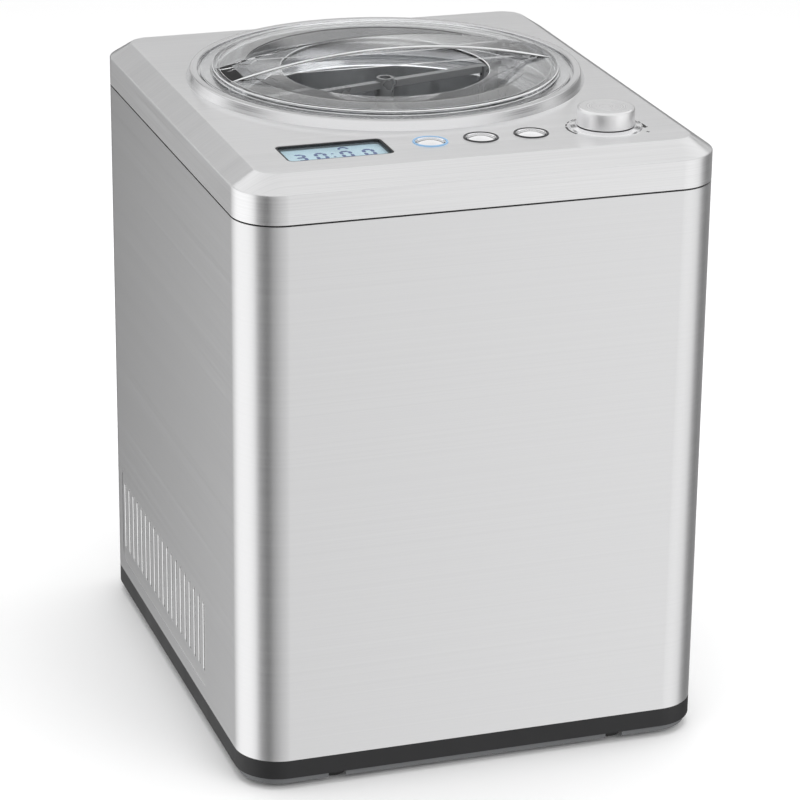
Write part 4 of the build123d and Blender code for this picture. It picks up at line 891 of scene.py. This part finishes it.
class ICECREAM_OT_lid(bpy.types.Operator):
    """Turn the clear lid and mould its arched bridge handle"""

    bl_idname = "ice_cream.lid"
    bl_label = "Clear Lid"

    def execute(self, context):
        low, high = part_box("lid")
        seat = low.z + 0.011
        flange = seat + 0.0021
        ring = flange + 0.0028
        wall = sizes().lid_wall
        rim, step_out, step_in, slope_top = 0.1105, 0.1035, 0.103, 0.084
        mouth, plug_in, plug_out = 0.062, 0.099, 0.1012
        slope_low = ring - 0.0032
        corners = [
            (rim, seat, 0.0003), (rim, flange, 0.0007), (step_out, flange, 0.0004),
            (step_in, ring, 0.0009), (slope_top, ring, 0.003), (mouth, slope_low, 0.0007),
            (mouth, slope_low - wall, 0.0007), (slope_top, ring - wall, 0.003),
            (plug_in, ring - wall, 0.0006), (plug_in, low.z, 0.0004),
            (plug_out, low.z, 0.0004), (plug_out, seat, 0.0003),
        ]
        piece = lathe("clear_cover", corners, BOWL_AXIS, steps=3)
        handle = self.handle(ring - 0.0006, high.z, wall + 0.0002)
        combine(piece, handle, "UNION")
        # painted highlight: sloping faces take the pale frosted finish, standing in for bright
        # lines along the lid's steps and the handle's shoulders
        steepest, flattest = 0.25, 0.95
        for face in piece.data.polygons:
            face.material_index = int(steepest < abs(face.normal.z) < flattest)
        finish(smooth(piece, 28), "lid",
               [MATERIALS["clear_lid"], MATERIALS["lid_edges"]], ["lid"])
        return {"FINISHED"}

    def handle(self, base, crown, wall):
        """A hollow arch with rounded shoulders, open below."""
        half_span, half_width, shoulder, steps = 0.102, 0.0155, 0.0014, 56
        end_gap, clear_half, clear_ramp, clear_rise, skin = 0.0012, 0.08, 0.004, 0.0028, 0.00005
        inner = half_width - wall
        rise = crown - base
        sweep = (half_span ** 2 + rise ** 2) / (2 * rise)
        sections = []
        for step in range(steps + 1):
            x = (half_span - end_gap) * (2 * step / steps - 1)
            top = crown - sweep + (sweep ** 2 - x ** 2) ** 0.5
            lift = min(max((clear_half - abs(x)) / clear_ramp, 0.0), 1.0)
            bottom = base + clear_rise * lift
            soft = min(shoulder, (top - bottom) * 0.45)
            ceiling = min(max(top - wall, bottom + skin), top - 2 * skin)
            points = [(-half_width, bottom)]
            for turn in range(5):
                angle = radians(180 - 22.5 * turn)
                points.append((soft - half_width + soft * cos(angle),
                               top - soft + soft * sin(angle)))
            points += [(-y, z) for y, z in points[::-1]]
            points += [(inner, bottom), (inner, ceiling), (-inner, ceiling), (-inner, bottom)]
            sections.append([(BOWL_AXIS.x + x, BOWL_AXIS.y + y, z) for y, z in points])
        return skinned("handle", sections)


class ICECREAM_OT_bowl(bpy.types.Operator):
    """Turn the mixing bowl with its rolled rim"""

    bl_idname = "ice_cream.bowl"
    bl_label = "Bowl"

    def execute(self, context):
        low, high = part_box("bowl")
        wall, rim_wall = sizes().bowl_wall, 0.0016
        bore, tube, tube_top = 0.0062, 0.008, 0.338
        outside, rim = 0.0874, 0.0985
        inside, floor = outside - wall, low.z + wall
        corners = [
            (bore, low.z, 0.0003), (outside, low.z, 0.003), (outside, high.z - rim_wall, 0.0008),
            (rim, high.z - rim_wall, 0.0006), (rim, high.z, 0.0006), (inside, high.z, 0.0012),
            (inside, floor, 0.0024), (tube, floor, 0.001), (tube, tube_top, 0.0006),
            (bore, tube_top, 0.0004),
        ]
        piece = smooth(lathe("mixing_bowl", corners, BOWL_AXIS))
        finish(piece, "bowl", [MATERIALS["bowl_steel"]], ["bowl"])
        return {"FINISHED"}


class ICECREAM_OT_paddle(bpy.types.Operator):
    """Mould the churning paddle"""

    bl_idname = "ice_cream.paddle"
    bl_label = "Paddle"

    def execute(self, context):
        piece = softened_copy("paddle", "churn_paddle", 0.0004)
        finish(piece, "paddle", [MATERIALS["paddle_plastic"]], ["paddle"])
        return {"FINISHED"}


# ---------------------------------------------------------------- controls
DIGIT_BARS = {"0": "abcdef", "3": "abgcd"}
BAR_PLACES = {
    "a": (0, 1, False), "b": (1, 0.5, True), "c": (1, -0.5, True), "d": (0, -1, False),
    "e": (-1, -0.5, True), "f": (-1, 0.5, True), "g": (0, 0, False),
}


def flat_bar(points, low, thick):
    """One thin printed shape."""
    return prism(points, low, low + thick)


def merged(name, parts):
    """One mesh piece from several bmeshes."""
    whole = bmesh.new()
    for part in parts:
        mesh = mesh_from(part, "part")
        whole.from_mesh(mesh)
        bpy.data.meshes.remove(mesh)
    return link(name, mesh_from(whole, name))


class ICECREAM_OT_display(bpy.types.Operator):
    """Make the lit display's digits under its window"""

    bl_idname = "ice_cream.display"
    bl_label = "Display"

    def execute(self, context):
        panel_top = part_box("lcd_module")[1].z
        middle = centre_of("display_lens")
        face = panel_top + 0.00001
        thick = 0.00008
        line = middle.y - 0.0012
        parts = []
        for digit, offset in (("3", -0.0199), ("0", -0.0079), ("0", 0.0069), ("0", 0.0199)):
            centre = (middle.x + offset, line)
            for letter in DIGIT_BARS[digit]:
                parts.append(flat_bar(self.bar(centre, *BAR_PLACES[letter]), face, thick))
        for rise in (-0.0028, 0.0028):
            dot = circle_points((middle.x - 0.0009, line + rise), 0.0008, 16)
            parts.append(flat_bar(dot, face, thick))
        parts.append(flat_bar(self.icon(middle), face, thick))
        piece = merged("display_digits", parts)
        finish(piece, HOUSING, [MATERIALS["digit_ink"]])
        return {"FINISHED"}

    def bar(self, centre, across, along, upright):
        """One pointed bar of a digit."""
        half_width, half_height, half_bar = 0.0025, 0.0053, 0.00105
        x = centre[0] + across * half_width
        y = centre[1] + along * half_height
        if upright:
            reach = half_height / 2 - 0.0003
            return [(x, y - reach), (x + half_bar, y - reach + half_bar),
                    (x + half_bar, y + reach - half_bar), (x, y + reach),
                    (x - half_bar, y + reach - half_bar), (x - half_bar, y - reach + half_bar)]
        reach = half_width - 0.0002
        return [(x - reach, y), (x - reach + half_bar, y - half_bar),
                (x + reach - half_bar, y - half_bar), (x + reach, y),
                (x + reach - half_bar, y + half_bar), (x - reach + half_bar, y + half_bar)]

    def icon(self, middle):
        """A small arch over the third digit."""
        centre_x, centre_y = middle.x + 0.0076, middle.y + 0.0082
        turns = [radians(180 - 15 * step) for step in range(13)]
        outer = [(centre_x + 0.0032 * cos(t), centre_y + 0.0042 * sin(t)) for t in turns]
        inner = [(centre_x + 0.0018 * cos(t), centre_y + 0.0024 * sin(t)) for t in turns]
        return outer + inner[::-1]


class ICECREAM_OT_buttons(bpy.types.Operator):
    """Turn the domed buttons and the rings round them"""

    bl_idname = "ice_cream.buttons"
    bl_label = "Buttons"

    def execute(self, context):
        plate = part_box("top_housing")[1].z
        rows = (
            ("power_button", "power_light_ring", "power_ring_lit", "light_ring"),
            ("menu_button", "button_rings", "dark_ring", "chrome"),
            ("start_button", "button_rings", "dark_ring", "chrome"),
        )
        outers = {}
        for node, ring_node, ring_material, ring_slot in rows:
            low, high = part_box(node)
            axis = centre_of(node)
            wall, foot, foot_top = 0.00775, 0.0082, low.z + 0.0014
            corners = [
                (0.0, high.z, 0.0), (0.0026, high.z - 0.00018, 0.0),
                (0.0052, high.z - 0.0007, 0.0), (wall, high.z - 0.0015, 0.0005),
                (wall, foot_top, 0.0), (foot, foot_top, 0.0),
                (foot, low.z, 0.0), (0.0, low.z, 0.0),
            ]
            dome = smooth(lathe(node.replace("button", "dome"), corners, axis, 64), 60)
            finish(dome, node, [MATERIALS["polished_chrome"]], [node])
            ring_low, ring_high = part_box(ring_node)
            name = node.replace("button", "ring")
            bore, hole = 0.0088, 0.0094
            corners = [
                (0.0102, plate, 0.0), (0.00985, ring_high.z, 0.0002),
                (0.0090, ring_high.z, 0.0002), (bore, plate, 0.0),
                (bore, ring_low.z, 0.0), (hole, ring_low.z, 0.0), (hole, plate, 0.0),
            ]
            outer = smooth(lathe(name, corners, axis, 64))
            finish(outer, HOUSING, [MATERIALS[ring_material]])
            trim_in, trim_out = 0.00805, bore - 0.0001
            corners = [
                (bore, ring_high.z - 0.0001, 0.0003), (trim_in, plate - 0.0004, 0.0003),
                (trim_in, ring_low.z, 0.0), (trim_out, ring_low.z, 0.0),
            ]
            inner = smooth(lathe(name + "_trim", corners, axis, 64))
            finish(inner, HOUSING, [MATERIALS["polished_chrome"]])
            outers.setdefault(ring_node, outer)
        for ring_node, outer in outers.items():
            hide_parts(ring_node)
        return {"FINISHED"}


class ICECREAM_OT_knob(bpy.types.Operator):
    """Turn the control knob and its plate, and print the dial marks"""

    bl_idname = "ice_cream.knob"
    bl_label = "Knob"

    def execute(self, context):
        low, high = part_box("control_knob")
        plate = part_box("top_housing")[1].z
        skirt = plate + 0.002
        bore, stem, hub, lining = 0.00302, high.z - 0.004, 0.006, high.z - 0.0022
        corners = [
            (0.0168, skirt, 0.0004), (0.0164, high.z, 0.0016), (0.0, high.z, 0.0),
            (0.0, stem, 0.0), (bore, stem, 0.0), (bore, low.z, 0.0), (hub, low.z, 0.0),
            (hub, lining, 0.0), (0.0141, lining, 0.0), (0.0146, skirt, 0.0),
        ]
        knob = smooth(lathe("turning_knob", corners, KNOB_AXIS, 128))
        finish(knob, "control_knob", [MATERIALS["knob_silver"]],
               ["control_knob"])
        ring_low, ring_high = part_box("knob_flange")
        rim, shoulder, bore, spigot = 0.021, 0.0176, 0.0085, 0.0127
        corners = [
            (rim, plate, 0.0), (rim - 0.0006, plate + 0.001, 0.0005),
            (shoulder, ring_high.z, 0.0004), (bore, ring_high.z, 0.0),
            (bore, ring_low.z, 0.0), (spigot, ring_low.z, 0.0), (spigot, plate, 0.0),
        ]
        ring = smooth(lathe("knob_plate", corners, KNOB_AXIS, 128))
        finish(ring, HOUSING, [MATERIALS["knob_plate"]], ["knob_flange"])
        self.dial_marks(plate)
        return {"FINISHED"}

    def dial_marks(self, plate):
        """Dashes that thicken towards low, and an arrow towards high."""
        middle, thick = 0.0224, 0.00005
        rows = [(124, 131, 0.0005), (136, 145, 0.0006), (150, 161, 0.0008),
                (165, 203, 0.0012), (12, 6, 0.0007)]
        parts = []
        for start, end, width in rows:
            parts.append(flat_bar(self.band(start, end, width, width, middle), plate, thick))
        parts.append(flat_bar(self.band(2, -15, 0.0004, 0.0022, middle), plate, thick))
        tip = self.polar(-21, middle)
        parts.append(flat_bar([self.polar(-15, middle + 0.0019), self.polar(-15, middle - 0.0019),
                               tip], plate, thick))
        for across, tall in ((0.0022, 0.0005), (0.0005, 0.0022)):
            x, y = self.polar(-39, 0.0252)
            parts.append(flat_bar([(x - across / 2, y - tall / 2), (x + across / 2, y - tall / 2),
                                   (x + across / 2, y + tall / 2), (x - across / 2, y + tall / 2)],
                                  plate, thick))
        marks = merged("dial_marks", parts)
        finish(marks, HOUSING, [MATERIALS["dial_ink"]])

    def polar(self, degrees_round, radius):
        """A point round the knob's axis."""
        turn = radians(degrees_round)
        return (KNOB_AXIS.x + radius * cos(turn), KNOB_AXIS.y + radius * sin(turn))

    def band(self, start, end, first, last, middle, steps=10):
        """A curved band whose width grows from first to last."""
        outer, inner = [], []
        for step in range(steps + 1):
            t = step / steps
            width = first + (last - first) * t
            turn = start + (end - start) * t
            outer.append(self.polar(turn, middle + width / 2))
            inner.append(self.polar(turn, middle - width / 2))
        return outer + inner[::-1]


# ---------------------------------------------------------------- stage
class ICECREAM_OT_stage(bpy.types.Operator):
    """Lay the floor, set the soft lights and aim the camera"""

    bl_idname = "ice_cream.stage"
    bl_label = "Stage"

    def execute(self, context):
        self.floor()
        self.surroundings()
        self.lamps()
        self.camera()
        context.scene.view_settings.view_transform = "Standard"
        return {"FINISHED"}

    def floor(self):
        """A wide pale sheet."""
        bm = bmesh.new()
        bmesh.ops.create_grid(bm, x_segments=1, y_segments=1, size=6.0)
        floor = link("floor", mesh_from(bm, "floor"))
        paper = Finish("floor_paper", (0.94, 0.94, 0.94), 0.9)
        paper.tint(paper.mottle(3.0), 0.004)
        floor.data.materials.append(paper.material)
        floor.visible_glossy = False

    def surroundings(self):
        """A plain room, with panels that only reflections show."""
        world = bpy.data.worlds.new("studio")
        bpy.context.scene.world = world
        world.use_nodes = True
        tree = world.node_tree
        make = node_maker(tree)
        where = make("ShaderNodeTexCoord").outputs["Generated"]
        parts = make("ShaderNodeSeparateXYZ", {0: where}).outputs
        turn = make("ShaderNodeMath", {0: parts["Y"], 1: parts["X"]}, operation="ARCTAN2")
        share = make("ShaderNodeMapRange",
                     {"Value": turn.outputs[0], "From Min": -pi, "From Max": pi})
        walls = make("ShaderNodeValToRGB", {0: share.outputs[0]})
        walls.color_ramp.interpolation = "EASE"
        round_the_room = (
            (-180, 1.12), (-165, 1.0), (-150, 0.3), (-128, 0.13), (-112, 0.42), (-90, 0.64),
            (-76, 0.7), (-71, 0.84), (-64, 0.95), (-45, 0.98), (-20, 0.9), (-4, 0.35),
            (12, 0.2), (45, 0.3), (80, 0.2), (99, 0.2), (112, 0.55), (128, 0.85), (140, 1.12),
            (180, 1.12),
        )
        wall_light = ramp(walls, [((angle + 180) / 360, grey)
                                  for angle, grey in round_the_room])
        heights = make("ShaderNodeValToRGB", {0: parts["Z"]})
        sky_light = ramp(heights, ((0.0, 0.9), (0.25, 1.0), (0.31, 0.25), (0.385, 0.25),
                                   (0.44, 1.0), (1.0, 0.78)))
        values = {"Value": parts["Z"], "From Min": 0.05, "From Max": 0.3}
        rise = make("ShaderNodeMapRange", values, interpolation_type="SMOOTHSTEP")
        sky = make("ShaderNodeMix", {"Factor": rise.outputs[0], "A": wall_light,
                                     "B": sky_light}, data_type="RGBA")
        glossy = make("ShaderNodeLightPath").outputs["Is Glossy Ray"]
        plain = make("ShaderNodeMix", {"Factor": glossy, "A": (0.9, 0.9, 0.9, 1),
                                       "B": sky.outputs["Result"]}, data_type="RGBA")
        light = tree.nodes["Background"].inputs["Color"]
        tree.links.new(plain.outputs["Result"], light)

    def lamps(self):
        """Two large soft lamps."""
        rows = (
            ("overhead", (0.1, 0.1, 1.7), (0.0, 0.0, 0.2), 1.6, 14.0),
            ("front_fill", (0.9, -1.6, 1.3), (0.0, 0.0, 0.2), 1.2, 8.0),
        )
        for name, place, target, size, power in rows:
            lamp = bpy.data.lights.new(name, "AREA")
            lamp.shape = "SQUARE"
            lamp.size = size
            lamp.energy = power
            holder = bpy.data.objects.new(name, lamp)
            bpy.context.scene.collection.objects.link(holder)
            holder.location = place
            aim = Vector(target) - Vector(place)
            holder.rotation_euler = aim.to_track_quat("-Z", "Y").to_euler()
            holder.visible_camera = False
            holder.visible_glossy = False

    def camera(self):
        """A long lens from the front left, looking down."""
        lens = bpy.data.cameras.new("camera")
        lens.lens = 152.35
        lens.sensor_width = 36.0
        lens.clip_end = 50.0
        holder = bpy.data.objects.new("camera", lens)
        bpy.context.scene.collection.objects.link(holder)
        turn, rise, roll = radians(-18.51), radians(20.98), radians(0.63)
        back = Vector((sin(turn) * cos(rise), -cos(turn) * cos(rise), sin(rise)))
        right = Vector((0, 0, 1)).cross(back).normalized()
        up = back.cross(right)
        across = right * cos(roll) + up * sin(roll)
        upright = up * cos(roll) - right * sin(roll)
        basis = Matrix((across, upright, back)).transposed().to_4x4()
        basis.translation = Vector((-0.61058, -1.83312, 0.90925))
        holder.matrix_world = basis
        bpy.context.scene.camera = holder


OPERATORS = (
    ICECREAM_OT_stage, ICECREAM_OT_finishes, ICECREAM_OT_case, ICECREAM_OT_cap,
    ICECREAM_OT_vents, ICECREAM_OT_base, ICECREAM_OT_back, ICECREAM_OT_collar,
    ICECREAM_OT_lid, ICECREAM_OT_bowl, ICECREAM_OT_paddle, ICECREAM_OT_display,
    ICECREAM_OT_buttons, ICECREAM_OT_knob,
)


class ICECREAM_PT_panel(bpy.types.Panel):
    """Lists the operators and the values they use"""

    bl_idname = "ICECREAM_PT_panel"
    bl_label = "Ice Cream Maker"
    bl_space_type = "VIEW_3D"
    bl_region_type = "UI"
    bl_category = "Ice Cream Maker"

    def draw(self, context):
        for operator in OPERATORS:
            self.layout.operator(operator.bl_idname)
        for group in (context.scene.ice_cream_sizes, context.scene.ice_cream_colours):
            box = self.layout.box()
            for name in group.__annotations__:
                box.prop(group, name)


CLASSES = (IceCreamSizes, IceCreamColours, *OPERATORS, ICECREAM_PT_panel)


def register():
    for item in CLASSES:
        bpy.utils.register_class(item)
    bpy.types.Scene.ice_cream_sizes = bpy.props.PointerProperty(type=IceCreamSizes)
    bpy.types.Scene.ice_cream_colours = bpy.props.PointerProperty(type=IceCreamColours)


def unregister():
    del bpy.types.Scene.ice_cream_colours
    del bpy.types.Scene.ice_cream_sizes
    for item in reversed(CLASSES):
        bpy.utils.unregister_class(item)


def main():
    register()
    for operator in OPERATORS:
        group, name = operator.bl_idname.split(".")
        getattr(getattr(bpy.ops, group), name)()


if __name__ == "__main__":
    main()
